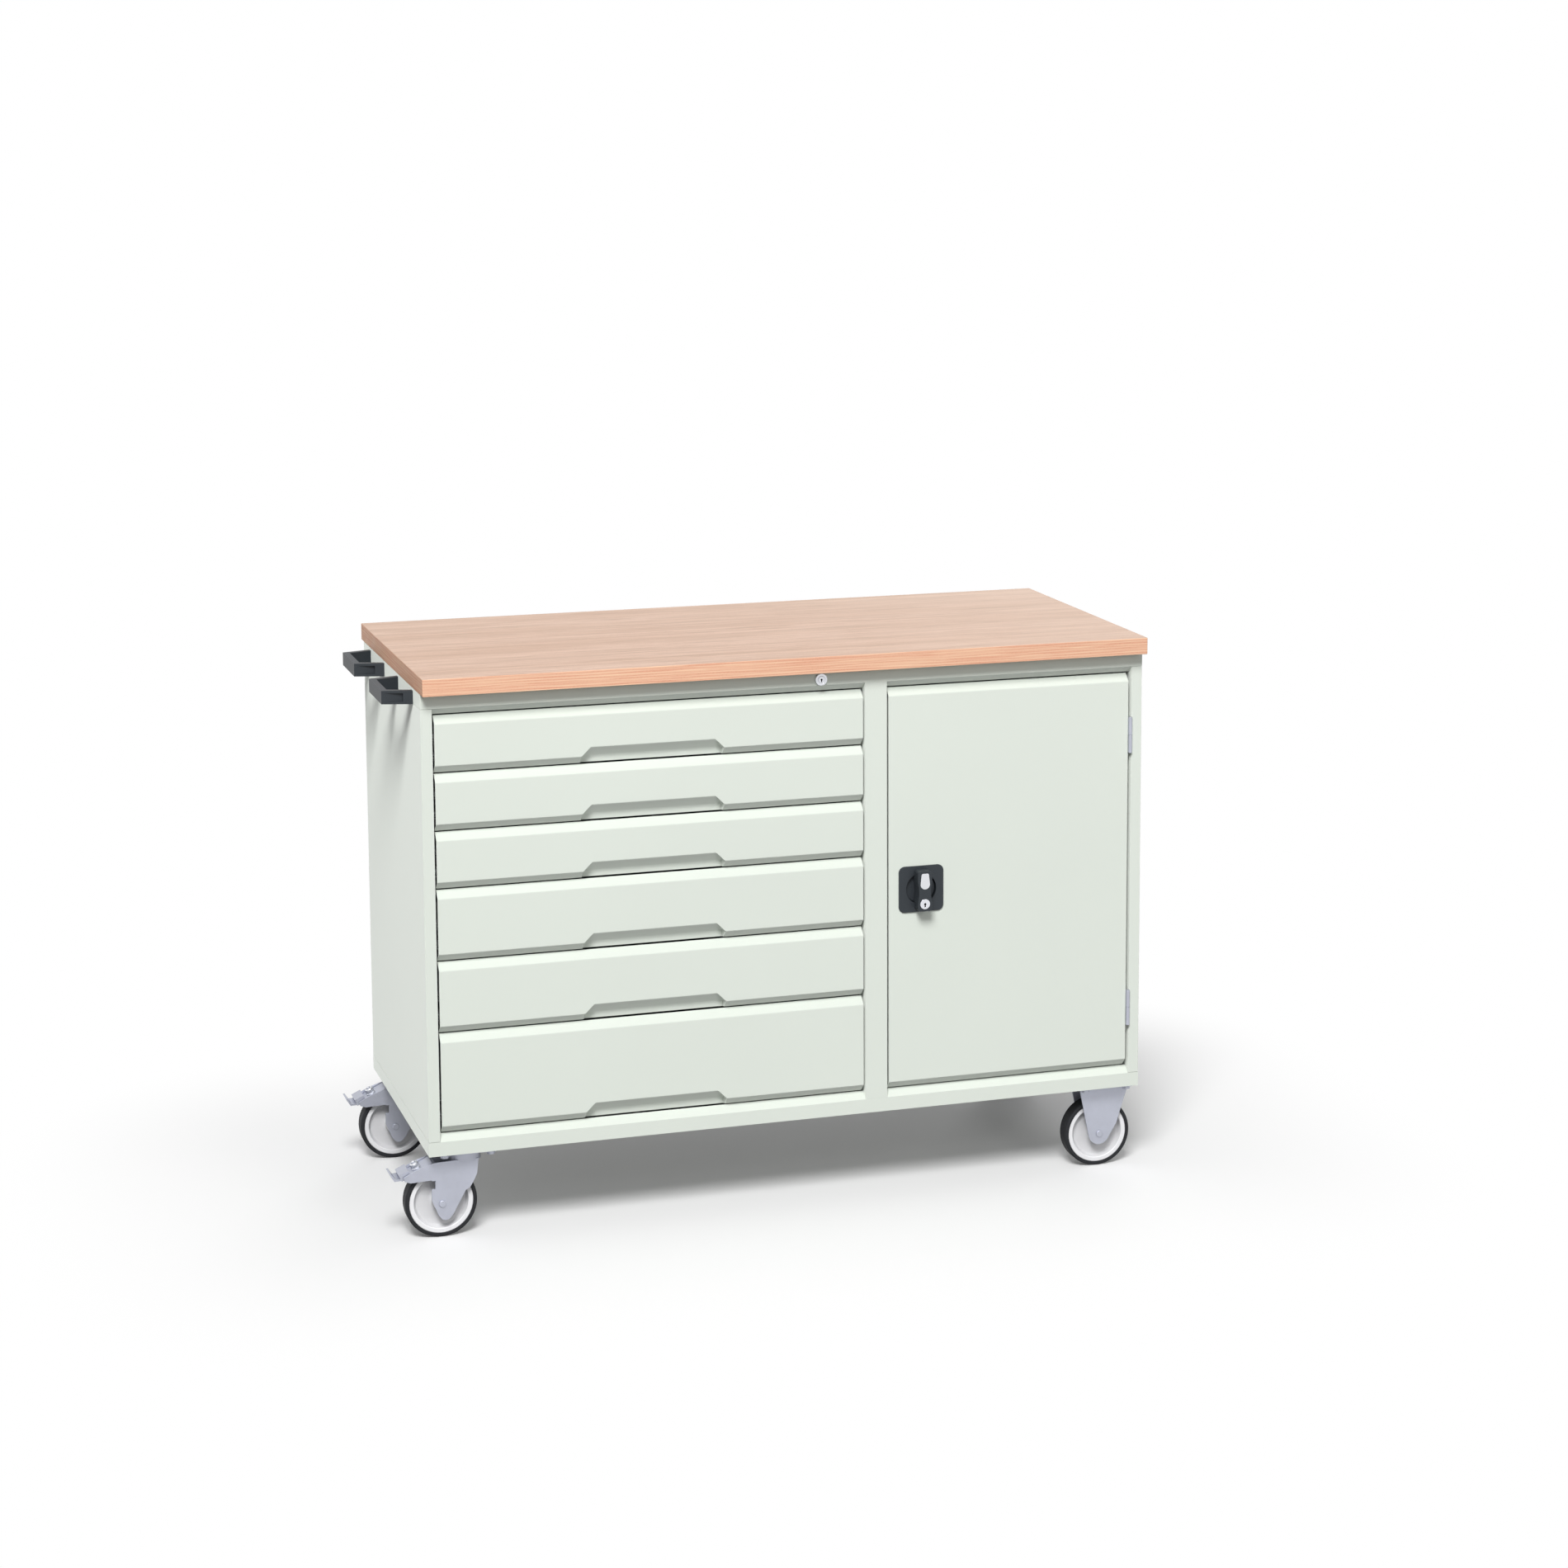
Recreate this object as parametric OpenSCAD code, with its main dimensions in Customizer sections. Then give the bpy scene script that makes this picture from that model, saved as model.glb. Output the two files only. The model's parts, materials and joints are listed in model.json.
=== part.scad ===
// Mobile workbench: wooden worktop on a sheet-steel cabinet with a stack of drawers, one
// cupboard and four castors. Z is up and the floor is at 0. The drawers face -Y.

/* [Worktop] */
// Length of the worktop and of the cabinet under it
bench_w = 1300; // [1150:10:1600]
// Depth of the worktop from front edge to back edge
bench_d = 600; // [560:10:750]
// Thickness of the worktop
worktop_t = 30; // [20:1:50]
// How far the worktop stands over the cabinet at the front and the back
worktop_overhang = 25; // [5:1:30]

/* [Cabinet] */
// Thickness of the cabinet's steel sheet
sheet = 1.5; // [1:0.1:2]
// Height of the flush rail of the top frame and of the base
rail_h = 25; // [20:1:40]
// Height of the sloping lip between a rail and the fronts
lip_h = 12.5; // [10:0.5:16]
// Width of the corner posts
post_w = 20; // [18:1:30]
// Width of the middle post
mid_post_w = 40; // [30:1:60]
// How far the folded posts run back along the opening
post_return = 50; // [42:1:70]
// Width of the opening for the drawers
drawer_bay_w = 760; // [600:10:800]
// Width of the flange that carries the worktop
frame_flange = 30; // [25:1:40]
// Distance from the ends of the worktop to its outer screws
screw_inset = 90; // [70:5:160]

/* [Fronts] */
// Open joint between two fronts, one above the other
front_gap = 2.5; // [2:0.1:4]
// Open joint between a front and the post beside it
side_gap = 3.5; // [2:0.1:5]
// Height of the bevel along the top and bottom edge of each front
bevel_h = 13; // [8:0.5:14]
// Depth of that bevel
bevel_d = 14; // [8:0.5:14.5]
// Depth of a drawer front
front_depth = 22; // [22:0.5:28]
// Depth of the folded edge behind a front, along all four sides
front_hem = 14; // [12:0.5:20]
// Width of the finger grip pressed into each drawer front
grip_w = 249; // [160:1:360]
// Height of the finger grip above the lower edge of the front
grip_h = 28.75; // [26:0.25:34]
// Depth of the finger grip
grip_d = 19; // [15:0.5:20]

/* [Drawers] */
// Height that one unit of a drawer front takes up
drawer_unit = 25; // [24:0.5:30]
// Heights of the drawer fronts in units, from the top drawer down
drawer_units = [4, 4, 4, 5, 5, 7]; // [4:1:8]
// Space between a drawer tray and the back panel
tray_rear_gap = 46.5; // [40:0.5:140]
// Thickness of the tray's sheet
tray_sheet = 1.2; // [0.8:0.1:2]
// Distance from the lower edge of a front to the bottom of its tray
tray_lift = 10; // [6:0.5:14]
// How much lower a tray's wall is than its unit of the stack
tray_headroom = 25; // [22:0.5:30]
// Space that a drawer slide takes up between the tray and the cabinet
slide_w = 12.7; // [12:0.1:14]
// Height of the cabinet member of a slide
slide_h = 45; // [40:0.5:50]
// Height of the middle of a slide above the bottom of its tray
slide_lift = 30; // [28:0.5:34]

/* [Door] */
// Depth of the door's folded edges
door_depth = 18; // [16:0.5:18]
// Open joint at the hinge side of the door
hinge_gap = 5.5; // [5:0.1:7]
// Outer diameter of a hinge knuckle
knuckle_d = 7; // [6:0.1:7]
// Diameter of a hinge pin
hinge_pin_d = 4; // [3:0.1:4]
// Length of a hinge, both knuckles together
hinge_h = 65; // [50:1:90]
// Distance from the upper or lower end of the door to the middle of a hinge
hinge_inset = 110; // [70:1:200]
// Distance from the free edge of the door to the knob's axis
knob_inset = 59; // [50:1:90]

/* [Door lock] */
// Side of the square lock plate
lock_plate_w = 83; // [76:1:90]
// Corner radius of the lock plate
lock_plate_r = 11; // [4:0.5:20]
// How far the lock plate stands out of the door
lock_plate_t = 2.5; // [2:0.1:3]
// Diameter of the round dish in the lock plate
dish_d = 55; // [48:1:58]
// Depth of the dish behind the face of the door
dish_depth = 7.5; // [5:0.5:9]
// Length of the knob's grip
knob_l = 72; // [56:1:76]
// Width of the knob's grip
knob_w = 26; // [24:0.5:30]
// How far the knob stands out of the door
knob_proud = 24; // [20:0.5:30]
// Diameter of the key cylinder in the knob
key_d = 18; // [14:0.5:18]
// Radius of the cranks that throw the two lock rods
cam_throw = 12; // [10:0.5:13]

/* [Shelf] */
// Height of the shelf's top above the cupboard floor
shelf_z = 370; // [150:10:500]
// Height of the shelf's folded edges
shelf_t = 25; // [15:1:40]
// Distance from the front of the cabinet to the front of the shelf
shelf_setback = 34; // [30:1:36]

/* [Drawer lock] */
// Distance from the middle post to the drawer lock
lock_inset = 81; // [80:1:220]
// Distance from the underside of the worktop down to the drawer lock
lock_drop = 14; // [13:0.5:14.5]
// Outer diameter of the drawer lock's rim
lock_rim_d = 21; // [16:0.5:22]
// Diameter of the turning plug
lock_plug_d = 12; // [9:0.5:12]
// Radius of the crank that lifts the locking bar
lock_throw = 6; // [5:0.5:6]

/* [Push handles] */
// How far the push handles stand out of the left end
handle_reach = 51; // [40:1:70]
// Length of the outer bar of a push handle
handle_l = 121; // [100:1:150]
// How much longer a push handle is at its root
handle_flare = 29; // [0:1:40]
// Height of a push handle
handle_h = 23; // [16:0.5:23]
// Thickness of the handle's bar and arms
handle_t = 11; // [9:0.5:14]
// Distance from the cabinet's front or back to the middle of the nearer handle
handle_inset = 138; // [110:1:160]
// Gap between the underside of the worktop and a push handle
handle_drop = 4; // [1:0.5:6]

/* [Castors] */
// Diameter of a wheel over its tyre
wheel_d = 125; // [100:5:150]
// Width of the tyre
wheel_w = 30; // [24:1:36]
// Thickness of the tyre
tyre_t = 7; // [5:0.5:10]
// Diameter of the axle
axle_d = 8; // [6:0.5:12]
// Gap between the two legs of a fork
fork_gap = 42; // [40:1:50]
// Thickness of the castor's steel plate
fork_t = 3; // [2:0.1:4]
// Height of the swivel head, plate included
castor_head_h = 30; // [28:0.5:40]
// Distance from the swivel axis to the wheel's axle
trail = 44; // [40:0.5:46]
// Distance from the left end of the cabinet to the swivel axes
swivel_inset = 70; // [60:1:120]
// Distance from the right end of the cabinet to the axles of the fixed wheels
fixed_inset = 65; // [62:1:120]
// Distance from the cabinet's front or back to the middle of a wheel
castor_setback = 50; // [45:1:90]
// Length of a castor's top plate
plate_l = 105; // [100:1:110]
// Width of a castor's top plate
plate_w = 85; // [80:1:88]
// Distance between the bolts along the top plate
bolt_span_l = 80; // [76:1:84]
// Diameter of the castor bolts
bolt_d = 8; // [6:1:8]
// How far the brake pedal reaches past the wheel's axle
pedal_reach = 89; // [80:1:100]

/* [Clearances] */
// Radial clearance of a shaft or pin in its bore
running_fit = 0.05; // [0.02:0.01:0.1]
// Gap between two flat faces that slide past each other
sliding_gap = 0.4; // [0.2:0.05:0.6]

/* [Hidden] */
$fn = 64;
cut = 1;
half_fold = tan(22.5);

// Colours
paint = "#e0e6dd";
wood = "#efc4a2";
dark_plastic = "#3e4145";
zinc = "#a8adba";
bright_steel = "#c8cace";
rim_white = "#eeeef0";
rubber = "#2d2f31";
slide_steel = "#b4b8ba";

// Heights, from the floor up
wheel_r = wheel_d / 2;
base_z = wheel_d + castor_head_h;
post_z = base_z + rail_h;
stack_z = post_z + lip_h;
drawer_count = len(drawer_units);
function units_from(i) = i >= drawer_count ? 0 : drawer_units[i] + units_from(i + 1);
stack_h = units_from(0) * drawer_unit;
rail_z = stack_z + stack_h + lip_h;
top_z = rail_z + rail_h;
floor_z = stack_z - front_gap / 2;

// Distances from the cabinet's left end, and back from its front
body_d = bench_d - 2 * worktop_overhang;
inner_d = body_d - sheet;
drawer_x = post_w;
mid_x = drawer_x + drawer_bay_w;
door_bay_x = mid_x + mid_post_w;
door_bay_w = bench_w - post_w - door_bay_x;
bays = [[drawer_x, mid_x], [door_bay_x, door_bay_x + door_bay_w]];

// Lips
lip_drop = lip_h - front_gap / 2;
lip_hem = 3;
rod_room = 12;

// Drawer fronts, trays and slides
front_w = drawer_bay_w - 2 * side_gap;
tray_x = drawer_x + slide_w;
tray_w = drawer_bay_w - 2 * slide_w;
tray_back = inner_d - tray_rear_gap;
slide_start = front_depth + 1.5;
slide_end = body_d - post_return + 20;
slide_sheet = 1.2;
catch_d = 14;

// Drawer lock
lock_x = mid_x - lock_inset;
lock_z = top_z - lock_drop;
lock_tail_r = 3;
lock_rim_t = 6;
lock_barrel_d = lock_plug_d + 6;
bearing_t = 2;
bearing_y = body_d - frame_flange + 4;
crank_t = 4;
crank_y = bearing_y + bearing_t + sliding_gap;
bar_t = 3;
bar_w = 24;
bar_y = crank_y + crank_t + 2;
bar_x = lock_x + lock_throw * 0.85;
bar_low = stack_z + 6;
lock_lift = 2 * lock_throw * sin(45);
catch_lip = lock_lift + 2;
guide_h = 14;
guide_rise = 24;
guide_drop = 30;
pin_r = 2.5;

// Door, its lock and its hinges
door_x = door_bay_x + side_gap;
door_w = door_bay_w - side_gap - hinge_gap;
door_h = stack_h - front_gap;
knob_x = door_x + knob_inset;
knob_z = stack_z + stack_h / 2;
hinge_x = door_x + door_w + hinge_gap / 2;
knuckle_proud = sqrt(pow(knuckle_d / 2, 2) - pow(hinge_gap / 2 - 0.3, 2));
hinge_y = -knuckle_proud - 0.1;
leaf_t = 1.5;
hinge_centres = [floor_z + front_gap + hinge_inset, floor_z + front_gap + door_h - hinge_inset];
cup_wall = 2;
stiffener_w = dish_d + 2 * cup_wall + 2 * sheet + 8;
web_y = 12.5;
cam_y = web_y + sheet + sliding_gap;
cam_t = 4;
rod_y = cam_y + cam_t + 0.8;
rod_t = 3;
rod_w = 16;
rod_lift = 2 * cam_throw * sin(45);

// Castors
castor_hub_z = wheel_r;
castor_rows = [castor_setback, body_d - castor_setback];
swivel_x = swivel_inset;
fixed_offset = 9;
fixed_x = bench_w - fixed_inset;
swivel_wheel_x = swivel_x - trail;
saddle_z = wheel_r * 2.14;
plate_z = base_z - fork_t;
kingpin_r = 6;
head_r = 28;
pedal_w = fork_gap - 4;
pedal_pivot = about_wheel(-14, 67.5);
pivot_pin_r = 2.5;
nut_d = 15;
nut_h = 6;
bolt_span_w = fork_gap + 2 * fork_t + nut_d + 2;

// A place about the axle, drawn for a wheel of 125 and scaled to this one
function about_wheel(x, z) = [x, z] * wheel_d / 125;

// The origin lies under the middle of the whole bench, at floor level
reach_left = max(handle_reach, pedal_reach - swivel_wheel_x);
reach_front = max(0, knob_proud + 1 - worktop_overhang);
body_x = (reach_left - bench_w) / 2;
body_y = (reach_front - bench_d) / 2 + worktop_overhang;

drawer_names = [for (i = [1 : drawer_count]) for (part = ["drawer_front_", "drawer_tray_", "drawer_slide_"]) str(part, i)];
corner_names = ["front_left", "rear_left", "front_right", "rear_right"];
row_names = ["front", "rear"];

// ---- Helpers ----

// Moves a child from the cabinet's front left corner to its place in the shared frame
module at_body() {
    translate([body_x, body_y, 0]) children();
}

// A block between two values along each axis
module slab(x, y, z) {
    translate([x[0], y[0], z[0]]) cube([x[1] - x[0], y[1] - y[0], z[1] - z[0]]);
}

// A drawing of depth and height carried along X
module along_x(x0, x1) {
    translate([x0, 0, 0]) rotate([90, 0, 90]) linear_extrude(x1 - x0) children();
}

// A drawing of width and height carried along Y
module along_y(y0, y1) {
    translate([0, y1, 0]) rotate([90, 0, 0]) linear_extrude(y1 - y0) children();
}

// A round bar along Y
module bar_along_y(x, z, r, y0, y1) {
    along_y(y0, y1) translate([x, z]) circle(r);
}

// Points along an arc from one angle to another
function arc(centre, r, a0, a1, steps = 8) =
    [for (k = [0 : steps]) centre + r * [cos(a0 + (a1 - a0) * k / steps), sin(a0 + (a1 - a0) * k / steps)]];

// A rectangle with round corners
module rounded_rect(w, h, r) {
    square([w - 2 * r, h], center = true);
    square([w, h - 2 * r], center = true);
    for (x = [-1, 1], y = [-1, 1]) translate([x * (w / 2 - r), y * (h / 2 - r)]) circle(r);
}

// A keyhole: a round hole over a narrow slot
module keyhole(size) {
    circle(size * 0.22);
    translate([0, -size * 0.3]) square([size * 0.22, size * 0.6], center = true);
}

// The same child at the left and, mirrored, at the right side of the drawer opening
module both_sides() {
    children();
    translate([2 * drawer_x + drawer_bay_w, 0, 0]) mirror([1, 0, 0]) children();
}

// ---- Fronts ----

// Section of a folded front with a bevel at its top and bottom edge
module front_section(h, depth) {
    polygon([[0, bevel_h], [0, h - bevel_h], [bevel_d, h], [depth, h], [depth, 0], [bevel_d, 0]]);
}

// The hollow inside that front
module front_hollow(h, depth) {
    fold = sheet * half_fold;
    back = depth - sheet;
    polygon([
        [sheet, bevel_h + fold], [sheet, h - bevel_h - fold], [bevel_d + fold, h - sheet],
        [back, h - sheet], [back, sheet], [bevel_d + fold, sheet]
    ]);
}

// A folded front with closed ends and a hem round its open back
module front_shell(w, h, depth) {
    difference() {
        along_x(0, w) front_section(h, depth);
        along_x(sheet, w - sheet) front_hollow(h, depth);
        slab([front_hem, w - front_hem], [depth - sheet - cut, depth + cut], [front_hem, h - front_hem]);
    }
}

// Outline of the finger grip as seen from the front, larger all round by grow
module grip_outline(grow) {
    half = grip_w / 2;
    rise = grip_h - bevel_h;
    side = [[half + grow, -cut], [half + grow, bevel_h + grow * half_fold],
        [half - rise + grow * half_fold, grip_h + grow]];
    polygon(concat(side, [for (k = [2 : -1 : 0]) [-side[k][0], side[k][1]]]));
}

// Space in front of the grip's surface: a slope that turns down into an upright strip
module grip_space(grow) {
    deep = grip_d + grow;
    high = grip_h + grow;
    bend_r = 12;
    bend = [deep - bend_r, high - deep - bend_r * half_fold];
    polygon(concat([[-cut, -cut], [deep, -cut]], arc(bend, bend_r, 0, 45), [[0, high], [-cut, high]]));
}

// A drawer front with its finger grip
module gripped_front(w, h) {
    difference() {
        union() {
            front_shell(w, h, front_depth);
            intersection() {
                along_x(0, w) front_section(h, front_depth);
                translate([w / 2, 0, 0]) along_y(0, front_depth) grip_outline(sheet);
                along_x(0, w) grip_space(sheet);
            }
        }
        intersection() {
            translate([w / 2, 0, 0]) along_y(-cut, front_depth) grip_outline(0);
            along_x(0, w) grip_space(0);
        }
    }
}

// ---- Worktop and cabinet ----

screw_spots = [for (k = [0 : 3]) screw_inset + k * (bench_w - 2 * screw_inset) / 3];
screw_rows = [frame_flange / 2, body_d - frame_flange / 2];
screw_r = 2.5;
screw_depth = 18;

module worktop() {
    ease = 1;
    color(wood) at_body() difference() {
        along_x(0, bench_w) translate([-worktop_overhang, top_z]) polygon([
            [0, ease], [0, worktop_t - ease], [ease, worktop_t], [bench_d - ease, worktop_t],
            [bench_d, worktop_t - ease], [bench_d, ease], [bench_d - ease, 0], [ease, 0]
        ]);
        for (x = screw_spots, y = screw_rows)
            translate([x, y, top_z - cut]) cylinder(r = screw_r + running_fit, h = screw_depth + 2 * cut);
    }
}

// Section of the sloping lip below the top rail
module lip_section() {
    back = bevel_d + lip_hem;
    polygon([
        [0, 0], [bevel_d, -lip_drop], [back, -lip_drop], [back, sheet - lip_drop],
        [bevel_d + sheet / 3, sheet - lip_drop], [sheet, sheet / 2], [sheet, sheet], [0, sheet]
    ]);
}

module top_frame() {
    color(paint) at_body() difference() {
        union() {
            difference() {
                slab([0, bench_w], [0, body_d], [rail_z, top_z]);
                slab([sheet, bench_w - sheet], [sheet, inner_d], [rail_z - cut, top_z - sheet]);
                slab([frame_flange, bench_w - frame_flange], [frame_flange, body_d - frame_flange],
                    [rail_z, top_z + cut]);
            }
            for (bay = bays) along_x(bay[0], bay[1]) translate([0, rail_z]) lip_section();
            slab([lock_x - 12, lock_x + 12], [bearing_y, bearing_y + bearing_t], [rail_z + 1, top_z - sheet]);
        }
        bar_along_y(lock_x, lock_z, lock_barrel_d / 2 + running_fit, -cut, sheet + cut);
        bar_along_y(lock_x, lock_z, lock_tail_r + running_fit, bearing_y - cut, bearing_y + bearing_t + cut);
        for (x = screw_spots, y = screw_rows)
            translate([x, y, top_z - sheet - cut]) cylinder(r = screw_r + running_fit, h = sheet + 2 * cut);
        for (y = handle_centres, side = [-1, 1])
            translate([-cut, y + side * handle_bolt_y, handle_z]) rotate([0, 90, 0])
                cylinder(r = handle_bolt_r + running_fit, h = sheet + 2 * cut);
    }
}

// Plan of a side sheet whose front and back are folded into posts
module side_plan() {
    face = post_w - sheet;
    polygon([
        [0, 0], [post_w, 0], [post_w, post_return], [face, post_return], [face, sheet],
        [sheet, sheet], [sheet, inner_d], [face, inner_d], [face, body_d - post_return],
        [post_w, body_d - post_return], [post_w, body_d], [0, body_d]
    ]);
}

module left_side() {
    color(paint) at_body() translate([0, 0, post_z]) linear_extrude(rail_z - post_z) side_plan();
}

module right_side() {
    color(paint) at_body() translate([bench_w, 0, post_z]) mirror([1, 0, 0])
        linear_extrude(rail_z - post_z) side_plan();
}

module partition() {
    color(paint) at_body() difference() {
        slab([mid_x, door_bay_x], [0, inner_d], [post_z, rail_z]);
        slab([mid_x + sheet, door_bay_x - sheet], [sheet, body_d], [post_z - cut, rail_z + cut]);
    }
}

// Loop on the back panel that guides the locking bar
module bar_guide(z) {
    wall = 2;
    difference() {
        slab([bar_x - bar_w / 2 - sliding_gap - wall, bar_x + bar_w / 2 + sliding_gap + wall],
            [bar_y - sliding_gap - wall, inner_d], [z, z + guide_h]);
        slab([bar_x - bar_w / 2 - sliding_gap, bar_x + bar_w / 2 + sliding_gap],
            [bar_y - sliding_gap, bar_y + bar_t + sliding_gap], [z - cut, z + guide_h + cut]);
    }
}

module back_panel() {
    color(paint) at_body() {
        slab([post_w, bench_w - post_w], [inner_d, body_d], [post_z, rail_z]);
        for (z = [bar_low + guide_rise, hook_tip_z(1) - lock_lift - guide_drop]) bar_guide(z);
    }
}

module base_tray() {
    deck_x = [door_bay_x, door_bay_x + door_bay_w];
    deck_y = bevel_d + lip_hem + rod_room;
    color(paint) at_body() difference() {
        union() {
            difference() {
                slab([0, bench_w], [0, body_d], [base_z, post_z]);
                slab([sheet, bench_w - sheet], [sheet, inner_d], [base_z + sheet, post_z + cut]);
            }
            for (bay = bays) along_x(bay[0], bay[1]) translate([0, post_z]) mirror([0, 1]) lip_section();
            difference() {
                slab(deck_x, [deck_y, inner_d], [base_z, floor_z]);
                slab([deck_x[0] - cut, deck_x[1] + cut], [deck_y + sheet, inner_d - sheet],
                    [base_z + sheet, floor_z - sheet]);
            }
        }
        for (spot = castor_bolts())
            translate([spot[0], spot[1], base_z - cut]) cylinder(r = bolt_d / 2 + 0.4, h = sheet + 2 * cut);
    }
}

module shelf() {
    z = floor_z + shelf_z;
    x = [door_bay_x + 1, door_bay_x + door_bay_w - 1];
    y = [shelf_setback, inner_d - 3];
    color(paint) at_body() difference() {
        slab(x, y, [z - shelf_t, z]);
        slab([x[0] + sheet, x[1] - sheet], [y[0] + sheet, y[1] - sheet], [z - shelf_t - cut, z - sheet]);
    }
}

// Hook that carries one corner of the shelf
module shelf_clip(y) {
    z = floor_z + shelf_z - shelf_t;
    slab([door_bay_x, door_bay_x + 2], [y, y + 8], [z - 14, z]);
    slab([door_bay_x, door_bay_x + 14], [y, y + 8], [z - 2, z]);
}

module shelf_clips() {
    front_y = post_return - 10;
    color(bright_steel) at_body() for (y = [front_y, body_d - post_return + 2]) {
        shelf_clip(y);
        translate([2 * door_bay_x + door_bay_w, 0, 0]) mirror([1, 0, 0]) shelf_clip(y);
    }
}

// ---- Push handles ----

handle_top = top_z - handle_drop;
handle_z = handle_top - handle_h / 2;
handle_centres = [handle_inset, body_d - handle_inset];
handle_bolt_r = 2.5;
handle_bolt_y = (handle_l + handle_flare) / 2 - handle_t * 0.6;
handle_bolt_l = 14;

// Plan of a push handle: a bar on two arms that spread towards the cabinet
module handle_plan(inset) {
    tip = handle_l / 2 - inset;
    root = (handle_l + handle_flare) / 2 - inset;
    outer = -handle_reach + inset;
    far = inset > 0 ? cut : 0;
    polygon([[far, root], [outer, tip], [outer, -tip], [far, -root]]);
}

// Plan of the hollow in the outside of an arm
module handle_pocket_plan() {
    spread = handle_flare / 2 / handle_reach;
    root = (handle_l + handle_flare) / 2;
    x = [-handle_reach * 0.7, -handle_bolt_l - 2];
    deep = handle_t * 0.55;
    polygon([
        [x[0], root + x[0] * spread - deep], [x[1], root + x[1] * spread - deep],
        [x[1], root + x[1] * spread + cut], [x[0], root + x[0] * spread + cut]
    ]);
}

module push_handle(y) {
    wall = 4;
    translate([0, y, handle_top - handle_h]) difference() {
        linear_extrude(handle_h) difference() {
            handle_plan(0);
            handle_plan(handle_t);
        }
        for (side = [0, 1]) mirror([0, side, 0]) {
            translate([-cut - handle_bolt_l, handle_bolt_y, handle_h / 2]) rotate([0, 90, 0])
                cylinder(r = handle_bolt_r + running_fit, h = handle_bolt_l + 2 * cut);
            translate([0, 0, wall]) linear_extrude(handle_h - 2 * wall) handle_pocket_plan();
        }
    }
}

module push_handles() {
    color(dark_plastic) at_body() for (y = handle_centres) push_handle(y);
}

// ---- Drawers ----

// Lower edge of the front of drawer i, counted from the top
function front_low(i) = stack_z + units_from(i) * drawer_unit + front_gap / 2;
function front_height(i) = drawer_units[i - 1] * drawer_unit - front_gap;
function tray_low(i) = front_low(i) + tray_lift;
function tray_height(i) = drawer_units[i - 1] * drawer_unit - tray_headroom;
function slide_mid(i) = tray_low(i) + slide_lift;

module drawer_front(i) {
    color(paint) at_body() translate([drawer_x + side_gap, 0, front_low(i)]) gripped_front(front_w, front_height(i));
}

// Section of a C-shaped slide member: its web at x, its flanges reaching to x_tip
module slide_section(x, x_tip, h) {
    t = slide_sheet;
    side = sign(x_tip - x);
    low = min(x, x_tip);
    difference() {
        translate([low, -h / 2]) square([abs(x_tip - x), h]);
        translate([low + side * t, -h / 2 + t]) square([abs(x_tip - x), h - 2 * t]);
    }
}

// Places of the nested members: wall, sliding gap, web and so on to the tray
mid_web = slide_sheet + sliding_gap;
mid_tip = slide_w - slide_sheet - sliding_gap;
inner_tip = mid_web + slide_sheet + sliding_gap;
mid_h = slide_h - 9;
inner_h = slide_h - 18.6;

module drawer_runners() {
    color(slide_steel) at_body() for (i = [1 : drawer_count])
        both_sides() translate([drawer_x, 0, slide_mid(i)])
            along_y(slide_start, slide_end) slide_section(0, mid_tip, slide_h);
}

module drawer_slide(i) {
    color(slide_steel) at_body() both_sides() translate([drawer_x, 0, slide_mid(i)])
        along_y(slide_start, tray_back) slide_section(mid_web, mid_tip, mid_h);
}

module drawer_tray(i) {
    z = tray_low(i);
    h = tray_height(i);
    t = tray_sheet;
    color(slide_steel) at_body() {
        difference() {
            slab([tray_x, tray_x + tray_w], [front_depth, tray_back], [z, z + h]);
            slab([tray_x + t, tray_x + tray_w - t], [front_depth + t, tray_back - t], [z + t, z + h + cut]);
        }
        both_sides() translate([drawer_x, 0, slide_mid(i)])
            along_y(slide_start, tray_back) slide_section(slide_w, inner_tip, inner_h);
        along_x(bar_x - bar_w / 2, bar_x + bar_w / 2) translate([tray_back, z + h]) polygon([
            [-t, 0], [catch_d, 0], [catch_d, -catch_lip], [catch_d - t, -catch_lip], [catch_d - t, -t], [-t, -t]
        ]);
    }
}

// ---- Drawer lock ----

module lock_housing() {
    color(bright_steel) at_body() difference() {
        union() {
            bar_along_y(lock_x, lock_z, lock_rim_d / 2, -lock_rim_t, 0);
            bar_along_y(lock_x, lock_z, lock_barrel_d / 2, 0, 22);
        }
        bar_along_y(lock_x, lock_z, lock_plug_d / 2 + running_fit, -lock_rim_t - cut, 22 + cut);
    }
}

module lock_plug() {
    face = -lock_rim_t - 0.5;
    crank = [lock_throw * cos(-45), lock_throw * sin(-45)];
    color(bright_steel) at_body() difference() {
        union() {
            bar_along_y(lock_x, lock_z, lock_plug_d / 2, face, 22);
            bar_along_y(lock_x, lock_z, lock_tail_r, 22, crank_y + crank_t);
            along_y(crank_y, crank_y + crank_t) translate([lock_x, lock_z]) {
                circle(5);
                rotate(-45) translate([0, -3.5]) square([lock_throw, 7]);
                translate(crank) circle(3.5);
            }
            bar_along_y(lock_x + crank[0], lock_z + crank[1], pin_r, crank_y + crank_t, bar_y + bar_t + 2);
        }
        along_y(face - cut, face + 3) translate([lock_x, lock_z]) keyhole(lock_plug_d * 0.6);
    }
}

function hook_tip_z(i) = tray_low(i) + tray_height(i) - catch_lip - 0.8;

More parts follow.
